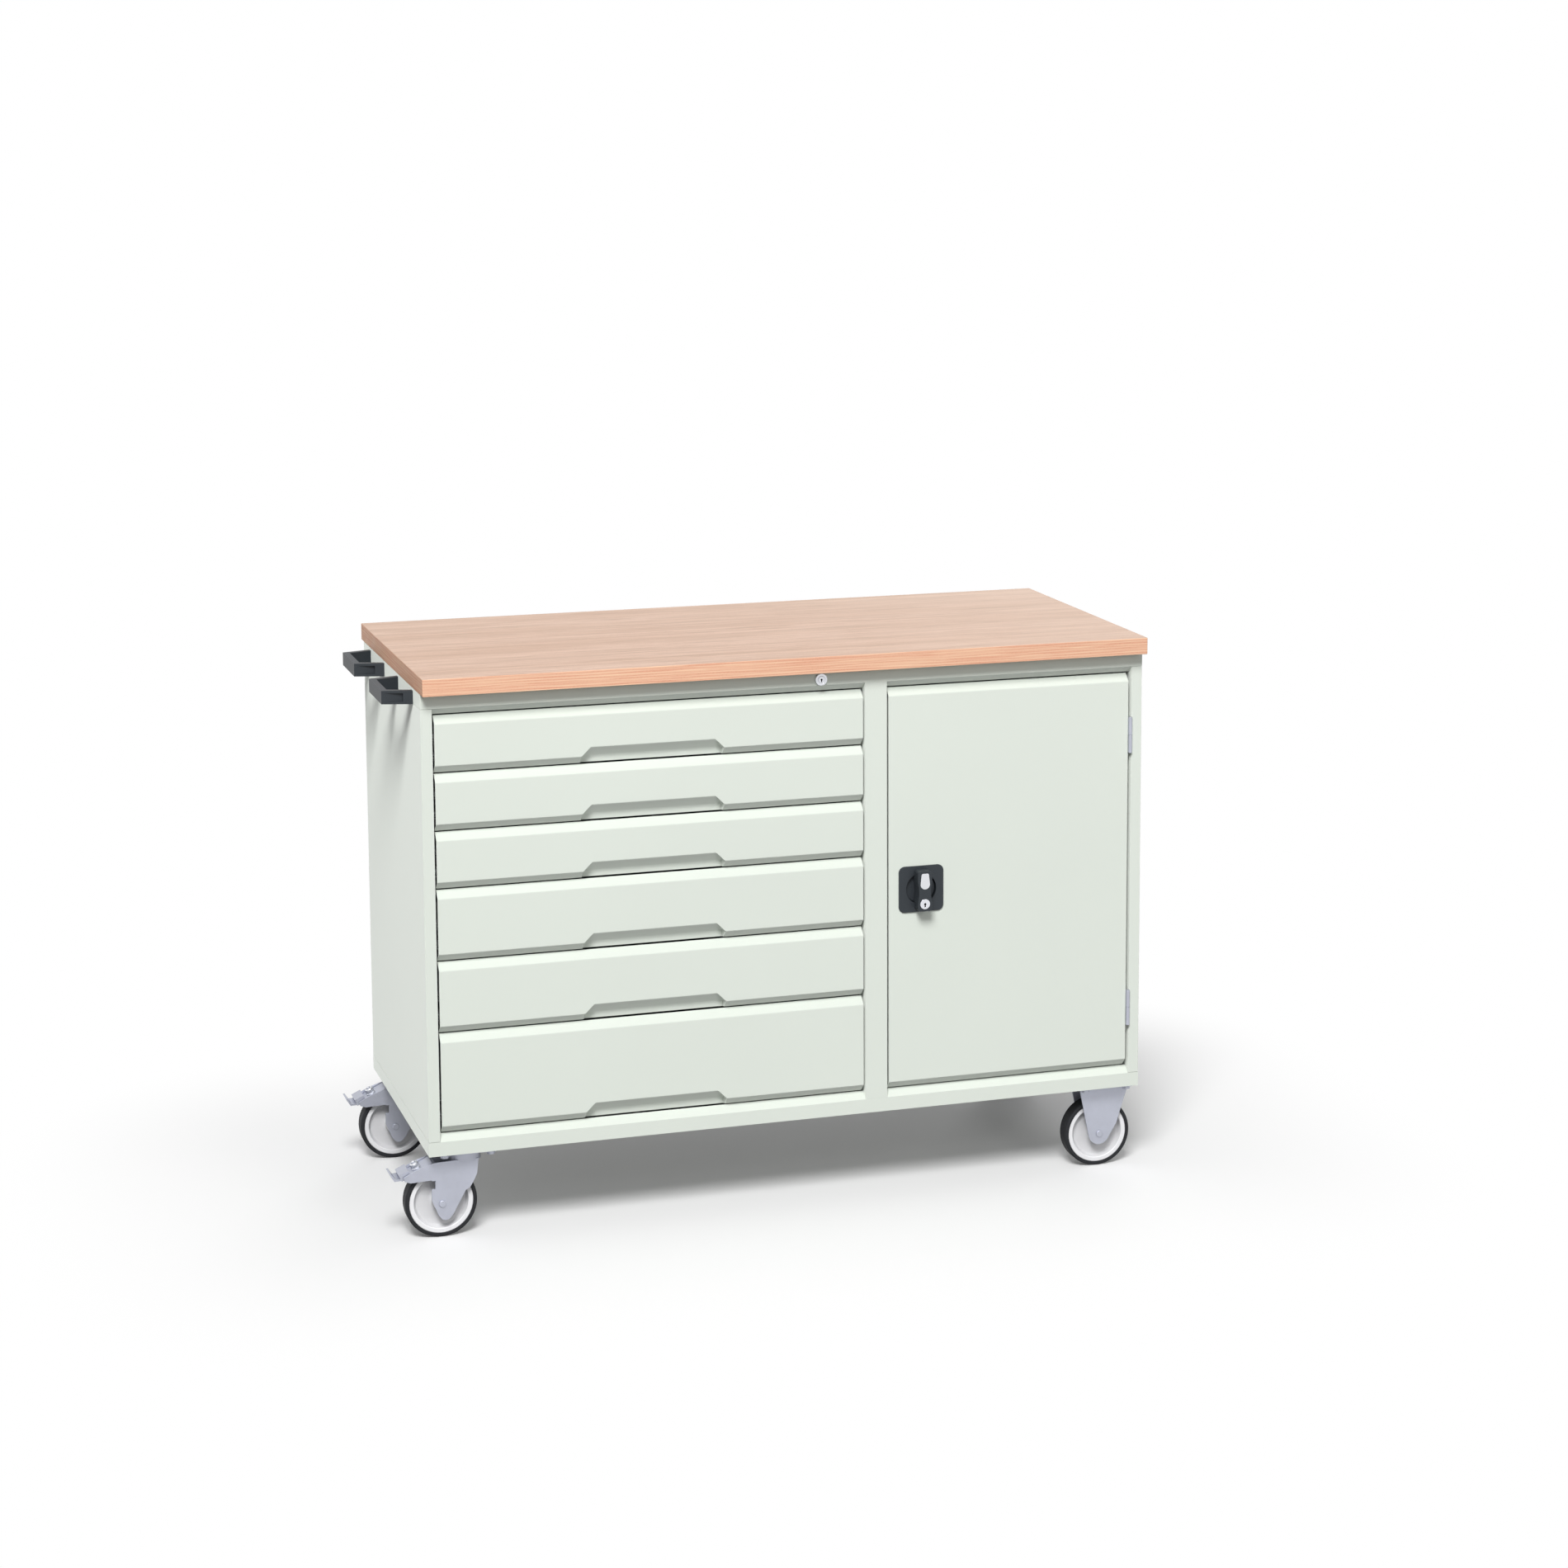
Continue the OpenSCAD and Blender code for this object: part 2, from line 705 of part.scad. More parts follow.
// Hook that rises in front of a drawer's catch lip, its arm staying below the lip
module lock_hook(i) {
    tip_z = hook_tip_z(i);
    tip_y = tray_back + catch_d / 2 - 2;
    x = [bar_x - bar_w / 2 + 2, bar_x + bar_w / 2 - 2];
    slab(x, [tip_y, bar_y], [tip_z - lock_lift - bar_t, tip_z - lock_lift]);
    slab(x, [tip_y, tip_y + bar_t], [tip_z - lock_lift - bar_t, tip_z]);
}

module lock_bar() {
    slot_mid = lock_throw * (1 + cos(45)) / 2;
    slot_l = lock_throw * (1 - cos(45)) + 2 * pin_r + 1.2;
    slot_h = 2 * pin_r + 1.2;
    slot_z = lock_z - lock_throw * sin(45);
    color(zinc) at_body() difference() {
        union() {
            slab([bar_x - bar_w / 2, bar_x + bar_w / 2], [bar_y, bar_y + bar_t], [bar_low, slot_z + slot_h / 2 + 4]);
            for (i = [1 : drawer_count]) lock_hook(i);
        }
        translate([lock_x + slot_mid, 0, slot_z]) along_y(bar_y - cut, bar_y + bar_t + cut)
            square([slot_l, slot_h], center = true);
    }
}

// ---- Door ----

module door_panel() {
    color(paint) at_body() difference() {
        translate([door_x, 0, floor_z + front_gap]) front_shell(door_w, door_h, door_depth);
        bar_along_y(knob_x, knob_z, dish_d / 2 + cup_wall + 0.3, -cut, sheet + cut);
    }
}

// Loop on the stiffener that guides a lock rod
module rod_guide(x, z) {
    wall = 2;
    difference() {
        slab([x - rod_w / 2 - sliding_gap - wall, x + rod_w / 2 + sliding_gap + wall],
            [web_y + sheet / 2, rod_y + rod_t + sliding_gap + wall], [z - 6, z + 6]);
        slab([x - rod_w / 2 - sliding_gap, x + rod_w / 2 + sliding_gap],
            [rod_y - sliding_gap, rod_y + rod_t + sliding_gap], [z - 6 - cut, z + 6 + cut]);
    }
}

upper_rod_x = knob_x + cam_throw * 0.85;
lower_rod_x = knob_x - cam_throw * 0.85;
door_top = floor_z + front_gap + door_h;
door_foot = floor_z + front_gap;

module door_stiffener() {
    x = [knob_x - stiffener_w / 2, knob_x + stiffener_w / 2];
    z = [door_foot + 20, door_top - 20];
    color(paint) at_body() difference() {
        union() {
            difference() {
                slab(x, [sheet, web_y + sheet], z);
                slab([x[0] + sheet, x[1] - sheet], [0, web_y], [z[0] - cut, z[1] + cut]);
            }
            for (dz = [70, door_h / 2 - 40]) {
                rod_guide(upper_rod_x, knob_z + dz);
                rod_guide(lower_rod_x, knob_z - dz);
            }
        }
        bar_along_y(knob_x, knob_z, 7.5, web_y - cut, web_y + sheet + cut);
    }
}

// A hinge knuckle and the leaf that ties it to a wall on the side given by turn
module hinge_half(z0, z1, turn) {
    wall_x = turn * hinge_gap / 2;
    difference() {
        union() {
            translate([0, 0, z0]) cylinder(d = knuckle_d, h = z1 - z0);
            slab([min(wall_x, wall_x - turn * leaf_t), max(wall_x, wall_x - turn * leaf_t)],
                [0, door_depth - hinge_y], [z0, z1]);
        }
        translate([0, 0, z0 - cut]) cylinder(d = hinge_pin_d + 2 * running_fit, h = z1 - z0 + 2 * cut);
    }
}

module door_hinges() {
    color(zinc) at_body() for (z = hinge_centres)
        translate([hinge_x, hinge_y, z]) hinge_half(sliding_gap, hinge_h / 2, -1);
}

module frame_hinges() {
    color(zinc) at_body() for (z = hinge_centres) translate([hinge_x, hinge_y, z]) hinge_half(-hinge_h / 2, 0, 1);
}

module hinge_pins() {
    color(bright_steel) at_body() for (z = hinge_centres)
        translate([hinge_x, hinge_y, z - hinge_h / 2]) cylinder(d = hinge_pin_d, h = hinge_h);
}

module lock_plate() {
    color(dark_plastic) at_body() difference() {
        union() {
            along_y(-lock_plate_t, 0) translate([knob_x, knob_z]) rounded_rect(lock_plate_w, lock_plate_w, lock_plate_r);
            bar_along_y(knob_x, knob_z, dish_d / 2 + cup_wall, 0, dish_depth + cup_wall);
        }
        bar_along_y(knob_x, knob_z, dish_d / 2, -lock_plate_t - cut, dish_depth);
        bar_along_y(knob_x, knob_z, 6 + running_fit, dish_depth - cut, dish_depth + cup_wall + cut);
    }
}

key_z = knob_z - knob_l / 2 + key_d / 2 + 4;

// Outline of the knob's grip, narrower at its waist
module knob_outline() {
    waist_r = 90;
    difference() {
        rounded_rect(knob_w, knob_l, 5);
        for (side = [-1, 1]) translate([side * (knob_w / 2 + waist_r - 2), -2]) circle(waist_r);
    }
}

// Outline of the pale inlay in the upper half of the knob: round below, flat on top
module inlay_outline() {
    r = key_d * 0.49;
    top = knob_l * 0.445;
    polygon(concat(arc([0, knob_l * 0.05 + r], r, 180, 360), [[r * 0.76, top], [-r * 0.76, top]]));
}

module knob() {
    grip_back = -lock_plate_t - sliding_gap;
    disc_r = dish_d / 2 - 1;
    disc_back = dish_depth - sliding_gap;
    color(dark_plastic) at_body() difference() {
        union() {
            along_y(-knob_proud, grip_back) translate([knob_x, knob_z]) knob_outline();
            along_y(-knob_proud - 0.6, -knob_proud) translate([knob_x, knob_z]) inlay_outline();
            along_y(grip_back, disc_back) translate([knob_x, knob_z]) intersection() {
                knob_outline();
                circle(disc_r);
            }
            bar_along_y(knob_x, knob_z, disc_r, disc_back - 3, disc_back);
            bar_along_y(knob_x, knob_z, 6, disc_back, cam_y);
            bar_along_y(knob_x, knob_z, cam_throw + 5, cam_y, cam_y + cam_t);
            for (a = [-45, 135])
                bar_along_y(knob_x + cam_throw * cos(a), knob_z + cam_throw * sin(a), pin_r,
                    cam_y + cam_t, rod_y + rod_t + 1.5);
        }
        bar_along_y(knob_x, key_z, key_d / 2 + running_fit, -knob_proud - cut, -knob_proud + 12);
    }
}

module key_cylinder() {
    face = -knob_proud - 0.6;
    color(bright_steel) at_body() difference() {
        bar_along_y(knob_x, key_z, key_d / 2, face, -knob_proud + 12 - sliding_gap);
        along_y(face - cut, face + 3) translate([knob_x, key_z]) keyhole(key_d * 0.5);
    }
}

// A lock rod with a cross slot for its crank pin, drawn for the upper rod
module lock_rod(x, side, tip) {
    slot_l = cam_throw * (1 - cos(45)) + 2 * pin_r + 1.2;
    slot_h = 2 * pin_r + 1.2;
    slot_x = knob_x + side * cam_throw * (1 + cos(45)) / 2;
    slot_z = knob_z - side * cam_throw * sin(45);
    z = side > 0 ? [slot_z - slot_h / 2 - 4, tip] : [tip, slot_z + slot_h / 2 + 4];
    difference() {
        slab([x - rod_w / 2, x + rod_w / 2], [rod_y, rod_y + rod_t], z);
        translate([slot_x, 0, slot_z]) along_y(rod_y - cut, rod_y + rod_t + cut) square([slot_l, slot_h], center = true);
    }
}

module upper_rod() {
    color(zinc) at_body() lock_rod(upper_rod_x, 1, door_top - 2);
}

module lower_rod() {
    color(zinc) at_body() lock_rod(lower_rod_x, -1, door_foot + 2);
}

// ---- Castors ----

// Middle of each castor's top plate, then the places of its bolts
plate_spots = concat(
    [for (y = castor_rows) [swivel_x, y]],
    [for (y = castor_rows) [fixed_x + fixed_offset, y]]
);
function castor_bolts() = [for (spot = plate_spots, dx = [-1, 1], dy = [-1, 1])
    spot + [dx * bolt_span_l / 2, dy * bolt_span_w / 2]];

module castor_plate() {
    hole_r = bolt_d / 2 + 0.4;
    difference() {
        translate([0, 0, plate_z]) linear_extrude(fork_t) rounded_rect(plate_l, plate_w, 8);
        for (dx = [-1, 1], dy = [-1, 1]) translate([dx * bolt_span_l / 2, dy * bolt_span_w / 2, plate_z - cut])
            cylinder(r = hole_r, h = fork_t + 2 * cut);
    }
}

// The same plate at both legs of a fork, drawn in X and height about the axle
module both_legs(t) {
    for (side = [-1, 1]) translate([0, side * (fork_gap + t) / 2, castor_hub_z])
        along_y(-t / 2, t / 2) children();
}

module fixed_leg() {
    top = plate_z - castor_hub_z;
    end_r = 0.32 * wheel_r;
    difference() {
        polygon(concat(
            [[fixed_offset - 48, top], [fixed_offset + 48, top], about_wheel(41, 41), about_wheel(34, 18)],
            arc([0, 0], end_r, -20, -170)
        ));
        circle(axle_d / 2);
    }
}

module fixed_forks() {
    color(zinc) at_body() for (y = castor_rows) translate([fixed_x, y, 0]) {
        translate([fixed_offset, 0, 0]) castor_plate();
        both_legs(fork_t) fixed_leg();
    }
}

// An axle with a domed head at each end
module axle() {
    head_y = fork_gap / 2 + fork_t;
    bar_along_y(0, castor_hub_z, axle_d / 2, -head_y, head_y);
    for (side = [-1, 1]) bar_along_y(0, castor_hub_z, axle_d / 2 + 2, min(side * head_y, side * (head_y + 3)),
        max(side * head_y, side * (head_y + 3)));
}

module fixed_axles() {
    color(bright_steel) at_body() for (y = castor_rows) translate([fixed_x, y, 0]) axle();
}

// Top plate with the kingpin that the swivel head turns on
module swivel_plates() {
    color(zinc) at_body() for (y = castor_rows) translate([swivel_x, y, 0]) {
        castor_plate();
        translate([0, 0, saddle_z - sliding_gap]) cylinder(r = kingpin_r, h = plate_z - saddle_z + sliding_gap);
        translate([0, 0, saddle_z - sliding_gap - 4]) cylinder(r = kingpin_r + 5, h = 4);
    }
}

module swivel_leg() {
    crown = saddle_z + fork_t - castor_hub_z;
    difference() {
        polygon([
            [trail + 20, crown], [0.35 * wheel_r, crown], about_wheel(-2, 73.5), about_wheel(-14, 73),
            about_wheel(-24, 70.5), about_wheel(-36, 66.5), about_wheel(-49, 61), about_wheel(-66, 52),
            about_wheel(-64, 45), about_wheel(-54, 41.5), about_wheel(-18, 43), about_wheel(-18, 7),
            about_wheel(-7, -20), about_wheel(-1, -28), about_wheel(5, -30), about_wheel(11, -28.5),
            about_wheel(18, -21), about_wheel(41, 20), about_wheel(49, 25), about_wheel(56, 37),
            [trail + 17, 0.77 * wheel_r]
        ]);
        translate(about_wheel(-18, 27)) square(about_wheel(6.5, 14.5));
        circle(axle_d / 2);
        translate(pedal_pivot) circle(pivot_pin_r + running_fit);
    }
}

module swivel_fork(y) {
    saddle_x = [0.35 * wheel_r, trail + 20];
    half = fork_gap / 2 + fork_t;
    color(zinc) at_body() translate([swivel_wheel_x, y, 0]) difference() {
        union() {
            both_legs(fork_t) swivel_leg();
            slab(saddle_x, [-half, half], [saddle_z, saddle_z + fork_t]);
            translate([trail, 0, saddle_z]) cylinder(r = head_r, h = plate_z - saddle_z - sliding_gap);
        }
        translate([trail, 0, saddle_z - cut]) cylinder(r = kingpin_r + running_fit, h = castor_head_h + cut);
    }
}

module swivel_axle(y) {
    color(bright_steel) at_body() translate([swivel_wheel_x, y, 0]) axle();
}

// Brake pedal: a sloping tread between the fork's arms with its lip, pad, screw and pivot
module brake_pedal(y) {
    slope = 25;
    slide = about_wheel(-39, 57.5);
    color(bright_steel) at_body() translate([swivel_wheel_x, y, castor_hub_z]) {
        along_y(-pedal_w / 2, pedal_w / 2) {
            polygon([
                about_wheel(-9, 68), about_wheel(-11, 72), about_wheel(-16, 72.5), about_wheel(-62, 49.5),
                about_wheel(-79, 48.5), [3 - pedal_reach, 0.94 * wheel_r], [-pedal_reach, 0.93 * wheel_r],
                about_wheel(-81, 45.5), about_wheel(-62, 46), about_wheel(-16, 65)
            ]);
            translate(about_wheel(-52, 52)) rotate(slope) translate([-18, 0]) square([18, 12]);
        }
        along_y(-fork_gap / 2 - fork_t, fork_gap / 2 + fork_t) translate(pedal_pivot) circle(pivot_pin_r);
        translate([slide[0], 0, slide[1]]) rotate([0, -slope, 0]) {
            cylinder(d = nut_d, h = 13, $fn = 6);
            cylinder(d = bolt_d, h = 15.5);
        }
    }
}

wheel_spots = [
    [swivel_wheel_x, castor_rows[0]], [swivel_wheel_x, castor_rows[1]],
    [fixed_x, castor_rows[0]], [fixed_x, castor_rows[1]]
];

// Turns a drawing of radius and width about the axle of wheel k
module about_axle(k) {
    at_body() translate([wheel_spots[k][0], wheel_spots[k][1], castor_hub_z])
        rotate([90, 0, 0]) rotate_extrude() children();
}

module wheel(k) {
    rim_r = wheel_r - tyre_t;
    ring_r = 0.76 * wheel_r;
    hub_r = 0.24 * wheel_r;
    half = wheel_w / 2 - 1.5;
    hub_half = fork_gap / 2 - sliding_gap;
    bore_r = axle_d / 2 + running_fit;
    web = 4;
    color(rim_white) about_axle(k) polygon([
        [bore_r, -hub_half], [hub_r, -hub_half], [hub_r + 2, -web], [ring_r - 3, -web], [ring_r, -half],
        [rim_r, -half], [rim_r, half], [ring_r, half], [ring_r - 3, web], [hub_r + 2, web],
        [hub_r, hub_half], [bore_r, hub_half]
    ]);
}

module tyre(k) {
    rim_r = wheel_r - tyre_t;
    half = wheel_w / 2;
    shoulder = 4;
    color(rubber) about_axle(k) polygon(concat(
        [[rim_r, -half]],
        arc([wheel_r - shoulder, -half + shoulder], shoulder, -90, 0),
        arc([wheel_r - shoulder, half - shoulder], shoulder, 0, 90),
        [[rim_r, half]]
    ));
}

// ---- Fasteners ----

// A hexagon bolt pointing up, its head below z and its nut on top of the grip
module castor_bolt(grip) {
    translate([0, 0, -nut_h]) cylinder(d = nut_d, h = nut_h, $fn = 6);
    cylinder(d = bolt_d, h = grip + nut_h + 2);
    translate([0, 0, grip]) cylinder(d = nut_d, h = nut_h, $fn = 6);
}

module fasteners() {
    color(bright_steel) at_body() {
        for (spot = castor_bolts()) translate([spot[0], spot[1], plate_z]) castor_bolt(fork_t + sheet);
        for (x = screw_spots, y = screw_rows) translate([x, y, top_z - sheet]) {
            cylinder(r = screw_r, h = sheet + screw_depth);
            translate([0, 0, -3]) cylinder(r = screw_r + 2, h = 3);
        }
        for (y = handle_centres, side = [-1, 1]) translate([sheet, y + side * handle_bolt_y, handle_z]) {
            rotate([0, -90, 0]) cylinder(r = handle_bolt_r, h = sheet + handle_bolt_l);
            rotate([0, 90, 0]) cylinder(r = handle_bolt_r + 2, h = 3);
        }
    }
}

// ---- Nodes ----

worktop();
top_frame();
left_side();
right_side();
partition();
back_panel();
base_tray();
drawer_runners();
shelf();
shelf_clips();
push_handles();
fasteners();
lock_housing();
lock_plug();
lock_bar();
door_panel();
door_stiffener();
door_hinges();
frame_hinges();
hinge_pins();
lock_plate();
knob();
key_cylinder();
upper_rod();
lower_rod();
fixed_forks();
fixed_axles();
swivel_plates();
for (r = [0, 1]) {
    swivel_fork(castor_rows[r]);
    swivel_axle(castor_rows[r]);
    brake_pedal(castor_rows[r]);
}
for (k = [0 : 3]) {
    wheel(k);
    tyre(k);
}
for (i = [1 : drawer_count]) {
    drawer_front(i);
    drawer_tray(i);
    drawer_slide(i);
}
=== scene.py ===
import json
import math

import bmesh
import bpy
import numpy as np
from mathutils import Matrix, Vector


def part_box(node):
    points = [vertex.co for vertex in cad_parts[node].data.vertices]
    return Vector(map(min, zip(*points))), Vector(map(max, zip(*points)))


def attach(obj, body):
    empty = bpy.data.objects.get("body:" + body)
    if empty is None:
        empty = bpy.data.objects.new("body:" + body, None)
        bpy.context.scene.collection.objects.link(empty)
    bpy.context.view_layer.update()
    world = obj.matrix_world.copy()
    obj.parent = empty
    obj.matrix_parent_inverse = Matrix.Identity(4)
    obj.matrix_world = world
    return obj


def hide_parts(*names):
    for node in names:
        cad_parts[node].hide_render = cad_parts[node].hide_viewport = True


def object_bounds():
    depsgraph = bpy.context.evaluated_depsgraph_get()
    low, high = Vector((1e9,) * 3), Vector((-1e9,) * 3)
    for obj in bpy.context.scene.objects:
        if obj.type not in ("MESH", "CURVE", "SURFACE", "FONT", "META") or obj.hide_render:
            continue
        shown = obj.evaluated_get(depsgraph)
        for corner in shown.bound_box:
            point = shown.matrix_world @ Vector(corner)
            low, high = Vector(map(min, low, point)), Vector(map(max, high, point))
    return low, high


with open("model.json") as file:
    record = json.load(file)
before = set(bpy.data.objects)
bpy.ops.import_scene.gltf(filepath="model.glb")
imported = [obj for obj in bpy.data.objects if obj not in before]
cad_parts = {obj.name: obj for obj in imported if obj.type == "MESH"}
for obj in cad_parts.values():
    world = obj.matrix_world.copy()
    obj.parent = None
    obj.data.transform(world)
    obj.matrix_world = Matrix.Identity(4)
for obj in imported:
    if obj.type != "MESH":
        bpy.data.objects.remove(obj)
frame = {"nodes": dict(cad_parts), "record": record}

CAD_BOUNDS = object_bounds()
RECORD = frame["record"]
BODY_OF = {node: body for body, nodes in RECORD["behaviour"]["bodies"].items() for node in nodes}
SLOT_OF = {part["node"]: part["material_slot"] for part in RECORD["subparts"]}

bl_info = {
    "name": "Workbench with drawers",
    "version": (1, 0, 0),
    "blender": (4, 5, 0),
    "location": "3D View > Sidebar > Workbench",
    "description": "Dresses a mobile workbench: its boards, folded fronts, locks and castors",
    "category": "Object",
}

MM = 0.001
# The cabinet's front left corner at floor level: pieces are drawn in millimetres from here
CORNER = np.array([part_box("left_side")[0].x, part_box("left_side")[0].y, 0.0])
DRAWERS = range(1, 1 + sum(node.startswith("drawer_front_") for node in frame["nodes"]))
WHEELS = ("front_left", "rear_left", "front_right", "rear_right")
ROWS = ("front", "rear")
PLIES = 13
# Millimetres: how far the close grid rows reach on both sides of a fold
NEAR_FOLD = 2
# Metres: points this near to each other are one, in a drawn piece and in a CAD node
SAME_DRAWN, SAME_CAD = 1e-6, 2e-6
# Degrees: CAD faces that meet at less are one face, edges from here on are rounded or stay sharp
FLAT, ROUNDED, SHARP = 0.4, 28, 35


def srgb(red, green, blue):
    """Linear colour of an 8-bit one: each channel over 255, less 0.055, to the power 2.4."""
    channels = [c / 255 for c in (red, green, blue)]
    return tuple(c / 12.92 if c <= 0.04045 else ((c + 0.055) / 1.055) ** 2.4 for c in channels)


def span(node):
    """Lowest and highest corner of a CAD node, in millimetres from the cabinet's corner."""
    low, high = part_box(node)
    return (np.array(low) - CORNER) / MM, (np.array(high) - CORNER) / MM


# ---- Sizes and colours ----


class BenchSizes(bpy.types.PropertyGroup):
    """Small radii and folds that the visual model adds to the frame, in millimetres."""

    worktop_edge: bpy.props.FloatProperty(
        name="Worktop edge", description="Radius of the sanded edge of the worktop",
        default=1.2, min=0.2, max=4)
    fold_radius: bpy.props.FloatProperty(
        name="Fold radius", description="Outer radius of a fold in the sheet",
        default=1.4, min=0.3, max=3)
    sheet: bpy.props.FloatProperty(
        name="Sheet", description="Thickness of the cabinet's sheet",
        default=1.5, min=0.8, max=2)
    seam: bpy.props.FloatProperty(
        name="Seam", description="Open joint between two sheets",
        default=0.6, min=0, max=1)
    sheet_edge: bpy.props.FloatProperty(
        name="Sheet edge", description="Radius of a cut edge of coated sheet",
        default=0.35, min=0.05, max=0.7)
    bevel_h: bpy.props.FloatProperty(
        name="Front bevel height", description="Height of the bevel along a front",
        default=13, min=6, max=14)
    bevel_d: bpy.props.FloatProperty(
        name="Front bevel depth", description="Depth of the bevel along a front",
        default=14, min=6, max=15)
    grip_w: bpy.props.FloatProperty(
        name="Grip width", description="Width of the finger grip at its foot",
        default=249, min=100, max=400)
    grip_h: bpy.props.FloatProperty(
        name="Grip height", description="Height of the finger grip",
        default=28.75, min=20, max=36)
    grip_d: bpy.props.FloatProperty(
        name="Grip depth", description="Depth of the finger grip",
        default=19, min=12, max=20)
    grip_bend: bpy.props.FloatProperty(
        name="Grip bend", description="Radius of the bend inside the finger grip",
        default=12, min=4, max=16)
    recess: bpy.props.FloatProperty(
        name="Recess", description="How far a front's body stays inside its sheet edge",
        default=3, min=1, max=6)
    hem: bpy.props.FloatProperty(
        name="Hem", description="Width of the folded edge behind the door",
        default=14, min=8, max=20)
    moulding: bpy.props.FloatProperty(
        name="Moulded edge", description="Edge radius of the moulded handles",
        default=1.1, min=0.2, max=2)
    pressing: bpy.props.FloatProperty(
        name="Pressed edge", description="Edge radius of the castors' pressings",
        default=0.6, min=0.1, max=1.2)


TONE = {"subtype": "COLOR", "min": 0, "max": 1}


class BenchColours(bpy.types.PropertyGroup):
    """Colours of the finishes."""

    paint: bpy.props.FloatVectorProperty(
        name="Paint", description="Powder coat of the cabinet", default=srgb(226, 231, 224), **TONE)
    beech: bpy.props.FloatVectorProperty(
        name="Beech", description="Face of the worktop", default=srgb(225, 195, 176), **TONE)
    beech_dark: bpy.props.FloatVectorProperty(
        name="Beech streaks", description="Darker streaks in the worktop",
        default=srgb(199, 164, 140), **TONE)
    # Painted light: the pale tone the worktop's face takes towards its right rear corner, where
    # more light falls
    painted_light_beech: bpy.props.FloatVectorProperty(
        name="Beech in painted light", description="Paler tone towards the worktop's right rear corner",
        default=srgb(255, 232, 214), **TONE)
    ply_pale: bpy.props.FloatVectorProperty(
        name="Pale ply", description="Long-grain plies in the worktop's edge",
        default=srgb(249, 210, 176), **TONE)
    ply_red: bpy.props.FloatVectorProperty(
        name="Red ply", description="Cross-grain plies in the worktop's edge",
        default=srgb(228, 163, 134), **TONE)
    glue: bpy.props.FloatVectorProperty(
        name="Glue line", description="Thin line between two plies",
        default=srgb(202, 134, 108), **TONE)
    moulded: bpy.props.FloatVectorProperty(
        name="Moulded plastic", description="Handles, lock plate and knob",
        default=srgb(48, 53, 58), **TONE)
    inlay: bpy.props.FloatVectorProperty(
        name="Inlay", description="Pale inlay of the knob", default=srgb(228, 229, 233), **TONE)
    zinc: bpy.props.FloatVectorProperty(
        name="Zinc", description="Plated castor parts, hinges and fasteners",
        default=srgb(186, 189, 201), **TONE)
    steel: bpy.props.FloatVectorProperty(
        name="Bright steel", description="Shelf clips and hinge pins, and the base of the chrome",
        default=srgb(205, 207, 212), **TONE)
    rail_steel: bpy.props.FloatVectorProperty(
        name="Tray steel", description="Drawer trays and slides",
        default=srgb(186, 190, 192), **TONE)
    rim: bpy.props.FloatVectorProperty(
        name="Wheel rim", description="Moulded wheel centres", default=srgb(236, 236, 238), **TONE)
    rubber: bpy.props.FloatVectorProperty(
        name="Rubber", description="Tyres", default=srgb(38, 39, 42), **TONE)


# ---- Finishes ----


class Wire:
    """A shader socket that takes part in sums: each operator adds one Math node."""

    def __init__(self, finish, socket):
        self.finish = finish
        self.socket = socket

    def math(self, operation, *values):
        return self.finish.node("ShaderNodeMath", {"operation": operation}, dict(enumerate(values)))

    def __add__(self, other):
        return self.math("ADD", self, other)

    def __sub__(self, other):
        return self.math("SUBTRACT", self, other)

    def __rsub__(self, other):
        return self.math("SUBTRACT", other, self)

    def __mul__(self, other):
        return self.math("MULTIPLY", self, other)

    def __abs__(self):
        return self.math("ABSOLUTE", self)

    __radd__ = __add__


